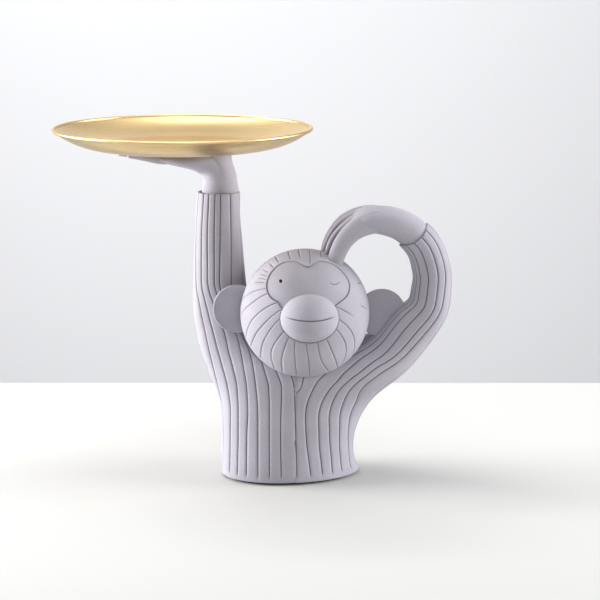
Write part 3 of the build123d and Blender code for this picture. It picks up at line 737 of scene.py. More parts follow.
fur_lines = []
for line in CHIN_LINES:
    away, round_angle = to_polar(smooth_line(line, step=1.0))
    round_angle = np.unwrap(round_angle)
    round_angle -= FULL_TURN * np.floor(round_angle[0] / FULL_TURN)
    run_past = LAST_CHIN_RUN if line is CHIN_LINES[-1] else CHIN_RUN
    fur_lines.append((away, round_angle, 0.0, away[-1] + run_past))
for turn, turn_end, start, stop in CROWN_LINES:
    away = np.radians([start, stop])
    fur_lines.append((away, np.radians([turn, turn_end]), away[0], away[1]))
fur_lines.sort(key=lambda line: line[1][0])
print("lines in the fur:", len(fur_lines))

# %% [markdown]
# The grid has one column on each line and its lips, and more columns between them, as many as the
# stretch of outline needs. Near the face the columns start evenly along the outline, and farther out
# they spread evenly between the lines. Past its ends a line has to go somewhere too: it keeps the bend
# that it had, within limits, so that no two lines cross.

# %% Columns of the fur
FUR_HALF_WIDTH = 0.5
FUR_LIPS = np.array([-1.0, -0.5, 0.0, 0.5, 1.0])
FUR_LIP_DEPTHS = np.array([0.0, 0.6, 1.0, 0.6, 0.0])
COLUMN_GAP = 0.9
WIDEST_CUT = 0.25
START_RUN = 0.2
START_BEND = 1.2
RUN_ON = 0.4
END_BEND = 0.6


def run_at(round_angle):
    """How far along the outline a ray at this angle round the pole leaves the face."""
    turned = face_round[0] + (round_angle - face_round[0]) % FULL_TURN
    order = np.argsort(face_round)
    return np.interp(turned, face_round[order], face_run[order])


def line_angle(line, away):
    """Angle round the pole of a line, at an angle from the pole; past its ends it keeps its bend."""
    turn = np.interp(away, line[0], line[1])
    slope = (line[1][1] - line[1][0]) / (line[0][1] - line[0][0])
    turn = turn - np.clip(slope, -START_BEND, START_BEND) * np.clip(line[0][0] - away, 0, START_RUN)
    slope = (line[1][-1] - line[1][-2]) / (line[0][-1] - line[0][-2])
    past = np.clip(away - line[0][-1], 0, RUN_ON)
    return turn + np.clip(slope, -END_BEND, END_BEND) * (past - 0.5 * past**2 / RUN_ON)


def line_start(line):
    """Where along the outline a line leaves the face."""
    turn = line[1][0]
    for _ in range(6):
        run = run_at(turn)
        turn = line_angle(line, np.interp(run % face_run[-1], face_run, face_away))
    return run


starts = [line_start(line) for line in fur_lines]
columns = []
for k, line in enumerate(fur_lines):
    following = (k + 1) % len(fur_lines)
    after = fur_lines[following]
    run, run_after = starts[k], starts[following]
    run_after += face_run[-1] if run_after < run else 0
    turn_after = 0 if following else FULL_TURN
    width = min(FUR_HALF_WIDTH, WIDEST_CUT * (run_after - run))
    for lip, weight in zip(FUR_LIPS, FUR_LIP_DEPTHS):
        columns.append((run + lip * width, line, line, 0.0, lip, weight, 0.0))
    stretch = run_after - run - 2 * width
    between = max(3, int(stretch / COLUMN_GAP))
    for share in (np.arange(between) + 1) / (between + 1):
        columns.append((run + width + share * stretch, line, after, share, 0.0, 0.0, turn_after))
print("columns of the fur:", len(columns))

# %% Fur skin
FUR_DEPTH = 0.6
FUR_SHADE = 0.8
STEP_DEPTH = 1.2
STEP_ROWS = np.array([-STEP_DEPTH - 0.5, -0.7, -0.12])
STEP_AWAY = np.array([0.0, 0.0, 0.003])
STEP_SHADES = (1.0, 0.6, 0.1)
GRID_END = math.radians(168)
SETTLED = 0.16
# over how long a stretch, in radians, a cut reaches or loses its depth
STROKE_START = 0.03
STROKE_END = 0.05
LINE_END = 0.25
# rows of the grid, from the outline, 0, to the far end, 1: two close to the step, then even ones
reach = np.concatenate([np.linspace(0, 0.02, 3)[1:], np.linspace(0.03, 1, 84)])
unsettled = 1 - ramp(reach, 0, SETTLED)

fur_places = np.zeros((len(reach) + 3, len(columns), 3))
fur_painted_shade = np.zeros(fur_places.shape[:2])
for j, (run, line, after, share, lip, weight, turn_after) in enumerate(columns):
    at_outline = run % face_run[-1]
    away_start = np.interp(at_outline, face_run, face_away)
    round_start = np.interp(at_outline, face_run, face_round)
    away = away_start + reach * (GRID_END - away_start)
    wide = FUR_HALF_WIDTH / (HEAD_RADIUS * np.sin(away))
    low, high = line_angle(line, away), line_angle(after, away) + turn_after
    spread = low + lip * wide if lip or not share else (low + wide) + share * (high - low - 2 * wide)
    round_start += FULL_TURN * np.round((spread[0] - round_start) / FULL_TURN)
    turn = spread + unsettled * (round_start - spread[0])
    start, stop = line[2], line[3]
    if start == 0:
        depth = weight * (1 - ramp(away, stop - LINE_END, stop))
    else:
        depth = weight * ramp(away, start, start + STROKE_START) * (1 - ramp(away, stop - STROKE_END, stop))
    fur_places[3:, j] = from_polar(away, turn, -FUR_DEPTH * depth)
    # painted shade in the cuts, darkest at their bottom
    fur_painted_shade[3:, j] = FUR_SHADE * depth**2
    fur_places[:3, j] = from_polar(away_start + STEP_AWAY, np.full(3, turn[0]), STEP_ROWS)
    # painted shade on the step down to the mask floor
    fur_painted_shade[:3, j] = STEP_SHADES
all_away = np.linspace(0.6, GRID_END, 60)
fan = np.array([line_angle(line, all_away) for line in fur_lines])
print("least angle between lines:", round(float(np.degrees(np.diff(fan, axis=0)).min()), 1))
fur = skin("head_fur", head_to_frame(fur_places), fur_painted_shade, caps=(False, True))
print("fur skin", fur_places.shape)

# %% [markdown]
# ## Face
# The floor of the mask lies a millimetre under the fur. It is a net over the front view, laid on the
# egg, sunk, and cut off just outside the outline, where the fur hides its edge. The net is finer round
# the eyes: on the tray side a small drilled pit, on the loop side the plain curved line of a closed
# lid. A soft valley runs down from the dip between the brows.

# %% Net of the mask
MASK_MARGIN = 1.3
NET_STEP = 0.7
FINE_ACROSS = [(-24.2, -19.0, 0.16), (15.8, 26.0, 0.22)]
FINE_HEIGHTS = [(28.0, 34.6, 0.16)]
CHIN_CORNERS = [(-14, 5), (14, 5)]
NET_MIDDLE = np.array([0.0, 24.0])


def graded(low, high, step, fine):
    """Numbers from low to high, step apart, and closer inside the fine stretches (from, to, step)."""
    marks = [low]
    while marks[-1] < high:
        here = min([step] + [closer for start, stop, closer in fine if start <= marks[-1] < stop])
        marks.append(marks[-1] + here)
    return np.array(marks)


def inside(outline, x, z):
    """True for the points of the front view inside a closed line."""
    found = np.zeros(np.shape(x), bool)
    for (x0, z0), (x1, z1) in zip(outline, np.roll(outline, -1, axis=0)):
        crosses = (z0 > z) != (z1 > z)
        height = z1 - z0 if z1 != z0 else 1.0
        found ^= crosses & (x < x0 + (z - z0) / height * (x1 - x0))
    return found


across_marks = graded(-36, 37, NET_STEP, FINE_ACROSS)
height_marks = graded(3, 49, NET_STEP, FINE_HEIGHTS)
net_x, net_z = np.meshgrid(across_marks, height_marks, indexing="ij")
floor_line = np.concatenate([mask_line, CHIN_CORNERS])
outward = floor_line - NET_MIDDLE
grown = floor_line + MASK_MARGIN * outward / np.linalg.norm(outward, axis=1)[:, None]
kept = inside(grown, net_x, net_z)
print("net", kept.shape, "of which", int(kept.sum()), "points are kept")

# %% Mask floor
EYE_PIT = (-21.6, 32.0)
EYE_PIT_RADIUS = 1.4
EYE_PIT_WALL = 0.35
EYE_PIT_DEPTH = 2.5
LID = (20.9, 30.8)
LID_HALF_WIDTH = 4.2
LID_DROP = 1.7
LID_CUT = 0.45
LID_DEPTH = 0.5
LID_TAPER = 0.8
LID_SHADE = 0.75
VALLEY_DEPTH = 1.3
VALLEY_WIDTH = 6.5
VALLEY_HEIGHTS = (26, 44)
SWELL = 0.5
SWELL_PLACE = (18, 31)
SWELL_SIZE = (9, 8)
EDGE_SHADE = 0.85
EDGE_SHADE_WIDTH = (0.1, 1.1)

sunk = STEP_DEPTH + VALLEY_DEPTH * np.exp(-((net_x / VALLEY_WIDTH) ** 2)) * ramp(net_z, *VALLEY_HEIGHTS)
swell_x = (np.abs(net_x) - SWELL_PLACE[0]) / SWELL_SIZE[0]
swell_z = (net_z - SWELL_PLACE[1]) / SWELL_SIZE[1]
sunk -= SWELL * np.exp(-(swell_x**2) - swell_z**2)
from_pit = np.hypot(net_x - EYE_PIT[0], net_z - EYE_PIT[1])
pit = 1 - ramp(from_pit, EYE_PIT_RADIUS - EYE_PIT_WALL, EYE_PIT_RADIUS)
lid_height = LID[1] - LID_DROP * (1 - ((net_x - LID[0]) / LID_HALF_WIDTH) ** 2)
lid = np.clip(1 - np.abs(net_z - lid_height) / LID_CUT, 0, 1)
lid *= 1 - ramp(np.abs(net_x - LID[0]), LID_HALF_WIDTH - LID_TAPER, LID_HALF_WIDTH)
sunk += EYE_PIT_DEPTH * pit + LID_DEPTH * lid
net = np.stack([net_x, egg_front(net_x, net_z) + sunk, net_z], axis=-1)
# painted shade: a dark line along the edge of the mask, and the eye pit and the cut of the lid darkened
near = np.stack([np.hypot(net_x - x, net_z - z) for x, z in mask_line[::2]]).min(axis=0)
edge_shade = EDGE_SHADE * (1 - ramp(near, *EDGE_SHADE_WIDTH))
mask_painted_shade = np.maximum(np.maximum(pit, LID_SHADE * lid), edge_shade)

number = -np.ones(kept.shape, int)
number[kept] = np.arange(kept.sum())
corners = [number[:-1, :-1], number[1:, :-1], number[1:, 1:], number[:-1, 1:]]
quads = np.stack(corners, axis=-1)
quads = quads[(quads >= 0).all(axis=-1)]
mask_points = (MM * head_to_frame(net[kept])).tolist()
eye_mask = new_piece("eye_mask", mask_points, quads.tolist(), resin, mask_painted_shade[kept].astype(np.float32))
print("mask floor", len(quads), "quads")

# %% [markdown]
# The muzzle is an oval ball, round about the axis that runs from ear to ear. The mouth is one more
# cut line, so one row of points follows it across, with its lips on both sides.

# %% Muzzle
MOUTH_HALF_WIDTH = 20.8
MOUTH_TAPER_FROM = 14.0
MOUTH_RISE = 1.4
MOUTH_CURL = 2.3
MOUTH_DEPTH = 0.8
MOUTH_STEPS = np.array([-0.75, -0.4, -0.15, 0.0, 0.15, 0.4, 0.75])
MOUTH_DEPTHS = np.array([0.0, 0.45, 0.9, 1.0, 0.9, 0.45, 0.0])
MUZZLE_SPAN = 1.9
LEAST_RADIUS = 7
muzzle_back = MUZZLE_HALF_HEIGHT - MUZZLE_REACH + egg_front(0.0, MUZZLE_RISE)

across = MUZZLE_HALF_WIDTH * np.sin(np.radians(np.linspace(-90, 90, 90)))
round_radius = MUZZLE_HALF_HEIGHT * np.sqrt(np.clip(1 - (across / MUZZLE_HALF_WIDTH) ** 2, 0, 1))
wide = np.maximum(round_radius, LEAST_RADIUS)
mouth = (MOUTH_RISE + MOUTH_CURL * (across / MOUTH_HALF_WIDTH) ** 2) / wide
taper = 1 - ramp(np.abs(across), MOUTH_TAPER_FROM, MOUTH_HALF_WIDTH)
lip = MOUTH_STEPS[-1] / wide
shares = np.linspace(0, 1, 30)
below = [-MUZZLE_SPAN + share * (mouth - lip + MUZZLE_SPAN) for share in shares[:-1]]
above = [mouth + lip + share * (MUZZLE_SPAN - mouth - lip) for share in shares[1:]]
turns = np.array(below + [mouth + step / wide for step in MOUTH_STEPS] + above)
depths = np.zeros(turns.shape)
depths[len(below) : -len(above)] = MOUTH_DEPTHS[:, None] * taper
radius = round_radius - MOUTH_DEPTH * depths
muzzle_places = np.stack([
    across + 0 * turns,
    muzzle_back - radius * np.cos(turns),
    MUZZLE_RISE + radius * np.sin(turns),
], axis=-1)
# the cut of the mouth also gets painted shade, as deep as it is cut
muzzle = skin("muzzle", head_to_frame(muzzle_places), depths, closed=False, caps=(False, False))
print("muzzle", muzzle_places.shape)

# %% [markdown]
# ## Ears
# Both ears are the same round shell: dished in front, with a thin raised rim that catches the light.
# A lathe profile is enough. The head hides the side where the ear is let in.

# %% Ears
EAR_PROFILE = [
    (0.4, 3.2), (3, 3.18), (6, 3.05), (9, 2.8), (12, 2.3), (14.5, 1.7), (16.5, 1.05), (17.6, 0.6),
    (18.1, 0.3), (18.4, 0.1), (18.8, 0.0), (19.3, 0.1), (19.6, 0.4), (19.7, 0.9), (19.7, 2.2), (19.3, 3.1),
    (18, 4.4), (15.5, 5.9), (12.2, 6.9), (8, 7.6), (4, 7.95), (0.4, 8.0),
]
EAR_SET_BACK = 3.0
EAR_PLACES = {"ear_tray_side": (-54.2, 3.5), "ear_loop_side": (62.8, -2.0)}


def lathe(profile, turns, middle=(0.0, 0.0, 0.0)):
    """Rows of points of a turned shape: profile holds radius and place along the axis Y."""
    spin = np.linspace(0, FULL_TURN, turns, endpoint=False)
    radius, along = np.array(profile, float).T
    rows = np.stack([
        radius[:, None] * np.cos(spin),
        along[:, None] + 0 * spin,
        radius[:, None] * np.sin(spin),
    ], axis=-1)
    return rows + np.array(middle)


ears = {}
for node, (ear_across, ear_rise) in EAR_PLACES.items():
    rows = lathe(EAR_PROFILE, turns=112, middle=(ear_across, EAR_SET_BACK, ear_rise))
    ears[node] = skin(node + "_skin", head_to_frame(rows))
print("ears", list(ears))

# %% [markdown]
# ## Hands
# A hand is a palm and a bundle of fingers. Each is a tube of oval sections along a smooth path, and
# they sink into each other, so that a sharp crease stays between two fingers as on the casting. The
# sections are a little squarer than an oval, which is how fingers look when they press together.

# %% Tubes
# a fingertip: how far round its end each section lies, and its length in half thicknesses
TIP_SHARES = np.array([0.0, 0.35, 0.6, 0.78, 0.9, 0.97])
TIP_LENGTH = 0.9
THINNEST = 0.05
CREASE_SIDES = (0.35, 0.9)
CREASE_FADE = (0.4, 0.7)


def tube(name, table, count, columns=56, square=2.0, creases=(0.0, 0.0)):
    """Tube along a table of x, y, z, half width in the XZ plane, half width along Y.

    creases paints shade on the front and the back side, where the next finger lies against this one."""
    rows = smooth_rows(table, count)
    heading = direction(np.gradient(rows[:, :3], axis=0))
    side = direction(np.cross(np.array([0.0, 1.0, 0.0]), heading))
    other = np.cross(heading, side)
    near = np.array([rows[0]] * len(TIP_SHARES))
    near[:, :3] -= heading[0] * rows[0, 3:5].mean() * (1 - TIP_SHARES)[:, None] * TIP_LENGTH
    near[:, 3:5] *= np.maximum(np.sqrt(1 - (1 - TIP_SHARES) ** 2), THINNEST)[:, None]
    rows = np.concatenate([near, rows])
    side, other = [np.concatenate([axis[:1].repeat(len(near), axis=0), axis]) for axis in (side, other)]
    spin = np.linspace(0, FULL_TURN, columns, endpoint=False)
    thick, wide = [np.sign(wave) * np.abs(wave) ** (2 / square) for wave in (np.cos(spin), np.sin(spin))]
    places = (
        rows[:, None, :3]
        + rows[:, 3, None, None] * thick[None, :, None] * side[:, None]
        + rows[:, 4, None, None] * wide[None, :, None] * other[:, None]
    )
    # painted shade in the creases against the next fingers, fading out towards the knuckle
    shade = creases[0] * ramp(-np.sin(spin), *CREASE_SIDES) + creases[1] * ramp(np.sin(spin), *CREASE_SIDES)
    fade = 1 - ramp(np.linspace(0, 1, len(rows)), *CREASE_FADE)
    return skin(name, places, shade[None, :] * fade[:, None])


def join(name, pieces):
    """One mesh out of several."""
    bpy.ops.object.select_all(action="DESELECT")
    for piece in pieces:
        piece.select_set(True)
    bpy.context.view_layer.objects.active = pieces[0]
    bpy.ops.object.join()
    pieces[0].name = pieces[0].data.name = name
    return pieces[0]


# %% [markdown]
# The hand on the crown comes out of the sleeve as a round heel, a bit thinner than the sleeve. Its
# back arches over, and four fingers bend down to the fur. They stand side by side from front to back,
# each a little farther round the crown than the one in front of it.

# %% Hand on the crown
# each finger's place along Y, then its path from the tip to the knuckle as x and z
FINGER_BACKS = (-29.8, -22.0, -14.2, -6.4)
FINGER_PATHS = [
    [(33.6, 178.9), (36.0, 186.0), (40.2, 196.3), (46.2, 204.6), (57.3, 212.4), (68.0, 215.4), (80.0, 213.8)],
    [(31.4, 181.6), (33.6, 189.6), (37.2, 197.9), (46.0, 207.6), (57.6, 214.4), (68.0, 216.2), (80.0, 214.0)],
    [(29.6, 183.6), (31.6, 191.4), (35.2, 199.1), (45.0, 210.4), (57.2, 215.4), (68.0, 216.2), (80.0, 214.0)],
    [(29.4, 184.0), (31.4, 191.8), (35.0, 199.6), (44.4, 211.0), (56.6, 215.8), (68.0, 216.2), (80.0, 214.0)],
]
FINGER_HALF_THICKNESSES = (5.8, 6.5, 7.0, 7.6, 8.8, 9.4, 7.6)
FINGER_HALF_WIDTH = 4.3
# share of the way to the middle of the hand that a finger bends in, from its tip to the knuckle
FINGER_INWARD = (0.0, 0.0, 0.0, 0.0, 0.05, 0.18, 0.6)
HAND_MIDDLE = -18.0
CREASE_SHADE = 0.9
# x, y, z, half thickness, half width
HAND_ROWS = [
    (104.5, -14.3, 195.0, 10.6, 11.6),
    (101.2, -15.0, 200.4, 12.2, 13.0),
    (94.6, -16.3, 206.6, 12.7, 14.0),
    (86.7, -17.0, 211.2, 12.2, 15.0),
    (76.9, -17.6, 214.3, 11.7, 15.7),
    (67.1, -18.0, 215.5, 11.0, 16.0),
    (58.5, -18.1, 215.3, 9.8, 15.8),
    (52.0, -18.1, 212.6, 6.6, 14.0),
    (46.5, -18.1, 208.2, 4.2, 11.5),
]
hand_parts = [tube("hand_back", HAND_ROWS, count=60, columns=88, square=2.2)]
for k, (back, path) in enumerate(zip(FINGER_BACKS, FINGER_PATHS)):
    table = [
        (x, back + inward * (HAND_MIDDLE - back), z, thick, FINGER_HALF_WIDTH)
        for (x, z), thick, inward in zip(path, FINGER_HALF_THICKNESSES, FINGER_INWARD)
    ]
    creases = (CREASE_SHADE * (k > 0), CREASE_SHADE * (k < len(FINGER_BACKS) - 1))
    hand_parts.append(tube("finger", table, count=40, square=2.5, creases=creases))
crown_hand = join("scratching_hand_skin", hand_parts)
print("hand on the crown", len(crown_hand.data.vertices), "points")

# %% [markdown]
# The raised hand is a wrist that bends flat under the dish. The fingers fan out to the rim side and
# only the underside shows. Its top is flat where the felt washer and the boss sit, so palm and wrist
# are cut off level there.

# %% Hand under the dish
PALM_TOP = 265.95
DISH_ACROSS, DISH_BACK = -86.98, 6.0
# x, y, z, right width, left width, depth, lean, turn
PALM_ROWS = [
    (-57.2, 6, 226.0, 13.6, 13.6, 12.6, 0, 0),
    (-57.0, 6, 234.0, 14.9, 15.2, 13.2, 0, 0),
    (-57.3, 6, 237.5, 14.8, 14.9, 13.1, -3, 0),
    (-57.7, 6, 243.0, 14.2, 13.8, 13.3, -8, 0),
    (-59.6, 6, 251.9, 13.6, 13.0, 14.4, -20, 0),
    (-66.2, 6, 259.6, 11.5, 13.0, 18.4, -50, 0),
    (-79.9, 6, 261.0, 8.2, 8.2, 21.5, -84, 0),
    (-94.1, 6, 262.1, 5.9, 5.9, 22.0, -88, 0),
    (-104.1, 6, 263.0, 4.1, 4.1, 20.6, -88, 0),
]
POST_ROWS = [
    (-57.0, 6, 232.0, 14.0, 13.0, 12.8, 0, 0),
    (-57.2, 6, 250.0, 12.7, 11.0, 13.6, 0, 0),
    (-60.0, 6, 262.0, 12.3, 12.0, 16.0, 0, 0),
    (-61.0, 6, 268.0, 13.2, 12.0, 17.0, 0, 0),
]
# fingers counted from the middle of the row, and for the root, knuckle and tip of each: how far out
# from the dish's axis, how far apart, height, half thickness and half width
FINGERS_BESIDE = (-1.5, -0.5, 0.5, 1.5)
PALM_FINGER = [(2.0, 8.0, 262.4, 2.8, 4.0), (16.0, 9.6, 262.4, 3.9, 4.8), (51.0, 14.25, 266.9, 2.7, 2.9)]
SHORTER_OUTSIDE = 4.4
THUMB = [(-102.6, 38.5, 266.9, 2.7, 3.0), (-92.0, 28.5, 264.0, 3.4, 4.2), (-80.6, 16.5, 262.4, 3.0, 4.6)]

palm_parts = []
for name, table, count in (("palm", PALM_ROWS, 80), ("wrist", POST_ROWS, 40)):
    spin = np.linspace(0, FULL_TURN, 96, endpoint=False)
    places = np.array([oval(row, spin) for row in smooth_rows(table, count)])
    places[..., 2] = np.minimum(places[..., 2], PALM_TOP)
    palm_parts.append(skin(name, places))
for beside in FINGERS_BESIDE:
    root, knuckle, tip = [
        [DISH_ACROSS - out, DISH_BACK + apart * beside, *rest] for out, apart, *rest in PALM_FINGER
    ]
    tip[0] += SHORTER_OUTSIDE * beside**2
    middle = [0.5 * (a + b) for a, b in zip(knuckle, tip)]
    palm_parts.append(tube("palm_finger", [tip, middle, knuckle, root], count=30, columns=40))
palm_parts.append(tube("thumb", THUMB, count=20, columns=40))
dish_hand = join("raised_hand_skin", palm_parts)
print("hand under the dish", len(dish_hand.data.vertices), "points")

# %% [markdown]
# ## Brass
# The dish is spun from sheet and brushed on the lathe, then lacquered. What shows is a warm satin
# with very fine rings, which stretch each highlight into a fan. The rings are a noise that only
# depends on the distance from the axis, used as a weak bump and a change in roughness. The place is
# measured from the axis of the dish, in object coordinates.

# %% Brass finish
BRASS_COLOUR = srgb(216, 187, 134)


def brass_finish(name, roughness, axis=None):
    """Satin brass. Given an axis, it is spun, with fine rings round that axis."""
    finish, tree, shader, place = new_finish(name)
    if axis is None:
        pattern = noise(tree, place, scale=900.0, detail=3.0)
    else:
        middle = (MM * axis[0], MM * axis[1], 0)
        shifted = add_node(tree, "ShaderNodeVectorMath", {0: place, 1: middle}, operation="SUBTRACT")
        level = {0: shifted.outputs["Vector"], 1: (1, 1, 0)}
        level = add_node(tree, "ShaderNodeVectorMath", level, operation="MULTIPLY")
        radius = add_node(tree, "ShaderNodeVectorMath", {0: level.outputs["Vector"]}, operation="LENGTH")
        rings = {"W": radius.outputs["Value"], "Scale": 2600.0, "Detail": 3.0}
        rings = add_node(tree, "ShaderNodeTexNoise", rings, noise_dimensions="1D")
        pattern = rings.outputs["Fac"]
        shader.inputs["Anisotropic"].default_value = 0.5
    cloud = noise(tree, place, scale=24.0, detail=4.0)
    dark, light = tinted(BRASS_COLOUR, 0.95), tinted(BRASS_COLOUR, 1.03)
    fill(tree, shader, {
        "Base Color": two_tones(tree, cloud, 0.3, 0.75, dark, light),
        "Roughness": spread_out(tree, pattern, roughness - 0.06, roughness + 0.08),
        "Normal": bumps(tree, pattern, strength=0.12, distance=0.00006),
        "Metallic": 1.0,
    })
    return finish


dish_brass = brass_finish("satin_brass", 0.28, axis=(DISH_ACROSS, DISH_BACK))
print("brass colour", [round(c, 3) for c in BRASS_COLOUR])

# %% [markdown]
# ## Dish
# The sheet is a millimetre thick: a flat floor, a side that rises in one arc, and a rim rolled over a
# wire. One closed lathe profile goes along the inside, round the roll and back under the dish, with
# a fine nick where the roll meets the sheet.

# %% Dish
DISH_FLOOR = 270.5
DISH_SHEET = 1.0
DISH_FLOOR_RADIUS = 62.0
ROLL_RADIUS = 1.3
ROLL_PLACE = (103.66, 15.2)
ROLL_TURNS = (205, -85)
side_run, side_rise = ROLL_PLACE[0] - DISH_FLOOR_RADIUS, ROLL_PLACE[1] - 0.5 * DISH_SHEET
side_angle = 2 * math.atan2(side_rise, side_run)
side_radius = side_run / math.sin(side_angle) + 0.5 * DISH_SHEET


def arc(middle, radius, turns):
    """Points round a middle; at a turn of 0 to its right, at -90 degrees under it."""
    return [(middle[0] + radius * math.cos(t), middle[1] + radius * math.sin(t)) for t in turns]


side_turns = np.linspace(0, side_angle, 40)[:-2] - 0.5 * math.pi
side_middle = (DISH_FLOOR_RADIUS, side_radius)
floor_radii = np.linspace(0.5, DISH_FLOOR_RADIUS, 32)[:-1]
profile = [
    *[(r, DISH_SHEET) for r in floor_radii],
    *arc(side_middle, side_radius - DISH_SHEET, side_turns),
    *arc(ROLL_PLACE, ROLL_RADIUS, np.radians(np.linspace(*ROLL_TURNS, 26))),
    *arc(side_middle, side_radius, side_turns[::-1]),
    *[(r, 0.0) for r in floor_radii[::-1]],
]
rows = lathe(profile, turns=256)[..., [0, 2, 1]] + (DISH_ACROSS, DISH_BACK, DISH_FLOOR)
dish = skin("tray_dish_skin", rows[:, ::-1], finish=dish_brass)
print("dish profile", len(profile), "points")

# %% [markdown]
# ## Hidden pieces and the pad
# Rods, dowels, ballast, plate and screws keep their CAD shape and get the finish of what they are
# made of. A general finish with two colours and a grain covers them; only the scale, the gloss and the
# colours differ.


# %% Plain finishes
def plain_finish(name, colour, other, scale, roughness, metal=0.0, stretch=(1, 1, 1)):
    """Two colours in a grain, which stretch can draw out along the piece."""
    finish, tree, shader, place = new_finish(name)
    mapped = add_node(tree, "ShaderNodeMapping", {"Vector": place, "Scale": stretch})
    grain = noise(tree, mapped.outputs["Vector"], scale, detail=4.0)
    fill(tree, shader, {
        "Base Color": two_tones(tree, grain, 0.35, 0.7, other, colour),
        "Normal": bumps(tree, grain, strength=0.2, distance=0.0002),
        "Roughness": roughness,
        "Metallic": metal,
    })
    return finish


steel = plain_finish("plain_steel", srgb(176, 178, 182), srgb(150, 152, 158), 700.0, 0.35, 1.0, (1, 1, 0.05))
insert_brass = plain_finish("insert_brass", srgb(214, 178, 96), srgb(190, 152, 78), 900.0, 0.3, 1.0)
felt = plain_finish("felt", srgb(74, 72, 78), srgb(46, 45, 50), 1500.0, 0.95)
beech = plain_finish("dowel_beech", srgb(214, 178, 132), srgb(186, 146, 100), 420.0, 0.6, 0.0, (1, 1, 0.08))
iron = plain_finish("ballast_iron", srgb(84, 82, 82), srgb(58, 55, 54), 300.0, 0.7, 0.6)
rubber = plain_finish("pad_rubber", srgb(38, 36, 38), srgb(24, 23, 25), 800.0, 0.85)
NODE_FINISHES = {
    "tray_boss": brass_finish("boss_brass", 0.32),
    "tray_stud": steel, "raised_arm_rod": steel, "looping_arm_rod": steel, "ear_dowels": steel,
    "crown_dowel": steel, "base_plate": steel, "base_screws": steel, "palm_insert": insert_brass,
    "tray_washer": felt, "neck_dowels": beech, "ballast_block": iron, "base_pad": rubber,
}
for node, finish in NODE_FINISHES.items():
    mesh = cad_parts[node].data
    mesh.materials.clear()
    mesh.materials.append(finish)
print("finished nodes:", len(NODE_FINISHES))

# %% [markdown]
# ## Onto the frame
# Every skin stands for its CAD node and rides on the body that the node belongs to. Only the dish
# rides on the turning body.

# %% Pieces onto bodies
body = join("body_skin", [looping_limb, raised_limb])
head = join("head_skin", [fur, eye_mask, muzzle])
SKINS = {
    "body_casting": (body, "figure", "lilac_grey_resin"),
    "head_casting": (head, "figure", "lilac_grey_resin"),
    "ear_tray_side": (ears["ear_tray_side"], "figure", "lilac_grey_resin"),
    "ear_loop_side": (ears["ear_loop_side"], "figure", "lilac_grey_resin"),
    "scratching_hand": (crown_hand, "figure", "lilac_grey_resin"),
    "raised_hand": (dish_hand, "figure", "lilac_grey_resin"),
    "tray_dish": (dish, "tray", "satin_brass"),
}
for node, (piece, rides_on, finish_slot) in SKINS.items():
    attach(piece, rides_on)
    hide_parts(node)
print("skins:", {node: piece.name for node, (piece, _, _) in SKINS.items()})

# %% [markdown]
# ## Table and wall
# The figure stands on a white table top, whose far edge shows behind the foot, before a pale wall.
# Both are flat sheets, so the soft shadow of the foot and the dish can fall on them.

# %% Stage
STAGE_SIDE = 9
# three corners of a sheet: the first, the end of its upward or far side, the end of its near side
STAGE = {
    "table": ([(-1.6, -1.4, 0), (-1.6, 0.308, 0), (1.6, -1.4, 0)], srgb(208, 208, 206)),
    "wall": ([(-3.6, 2.6, -1.6), (-3.6, 2.6, 2.6), (3.6, 2.6, -1.6)], srgb(244, 244, 246)),
}
for name, (corners, colour) in STAGE.items():
    first, far, near = np.array(corners, float)
    steps = np.linspace(0, 1, STAGE_SIDE)
    net = np.array([[first + u * (near - first) + v * (far - first) for v in steps] for u in steps])
    finish, tree, shader, place = new_finish(name + "_paint")
    cloud = noise(tree, place, scale=3.0, detail=2.0)
    tone = two_tones(tree, cloud, 0.0, 1.0, tinted(colour, 0.99), colour)
    fill(tree, shader, {"Base Color": tone, "Roughness": 0.9, "Specular IOR Level": 0.1})
    faces = grid_faces(STAGE_SIDE, STAGE_SIDE, STAGE_SIDE - 1)
    sheet = new_piece(name, net.reshape(-1, 3).tolist(), faces, finish)
    sheet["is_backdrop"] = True
print("stage:", list(STAGE))

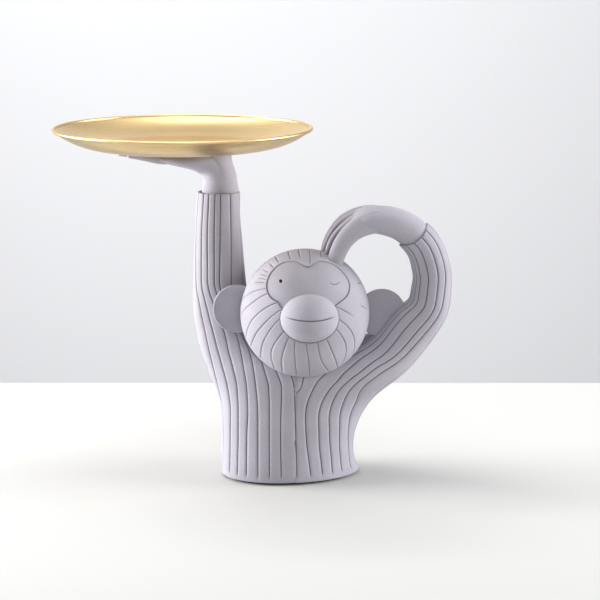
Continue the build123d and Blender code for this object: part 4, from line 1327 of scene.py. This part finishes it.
# %% [markdown]
# ## Light
# The light is large and soft and comes from the left, with a weaker one from the right. Lamps are
# kept plain, so the colours come out about as written. The room around is bright where the camera
# sees it or the brass mirrors it, and dim where it only lights the figure.

# %% Lamps
# place, target, size and power of each lamp, in metres and watts
LAMPS = {
    "window_light": ((-1.65, 0.15, 0.32), (0, 0, 0.16), 1.1, 58),
    "right_light": ((1.6, 0.0, 0.42), (0, 0, 0.14), 1.0, 28),
    "top_light": ((-0.2, -0.1, 1.8), (0, 0, 0), 1.8, 18),
    "front_fill": ((0.2, -1.8, 1.0), (0, 0, 0.12), 1.2, 5),
    "wall_light": ((-1.0, 0.6, 1.9), (-0.7, 2.5, 0.6), 1.0, 37),
}
for name, (place, target, size, power) in LAMPS.items():
    lamp = bpy.data.lights.new(name, "AREA")
    lamp.shape = "DISK"
    lamp.size = size
    lamp.energy = power
    holder = bpy.data.objects.new(name, lamp)
    holder.location = place
    aim = Vector(target) - Vector(place)
    holder.rotation_euler = aim.to_track_quat("-Z", "Y").to_euler()
    bpy.context.scene.collection.objects.link(holder)
print("lamps:", list(LAMPS))

# %% Room
ROOM_COLOUR = (0.86, 0.88, 0.92, 1)
ROOM_DIM, ROOM_BRIGHT = 0.25, 1.0
world = bpy.data.worlds.new("studio")
bpy.context.scene.world = world
world.use_nodes = True
room = world.node_tree
ray = add_node(room, "ShaderNodeLightPath").outputs
seen = {0: ray["Is Camera Ray"], 1: ray["Is Glossy Ray"]}
seen = add_node(room, "ShaderNodeMath", seen, operation="ADD").outputs[0]
seen = {0: seen, 1: ray["Is Transmission Ray"]}
seen = add_node(room, "ShaderNodeMath", seen, operation="ADD").outputs[0]
strength = spread_out(room, seen, ROOM_DIM, ROOM_BRIGHT)
fill(room, room.nodes["Background"], {"Color": ROOM_COLOUR, "Strength": strength})
bpy.context.scene.view_settings.view_transform = "Standard"
print("room", ROOM_COLOUR[:3], "from", ROOM_DIM, "to", ROOM_BRIGHT)

# %% [markdown]
# ## Size
# The size of the box round every piece that is shown, the table and the wall left out, is printed in
# millimetres.

# %% Sizes
low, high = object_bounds()
print("box in mm:", [round(1000 * (b - a), 1) for a, b in zip(low, high)])
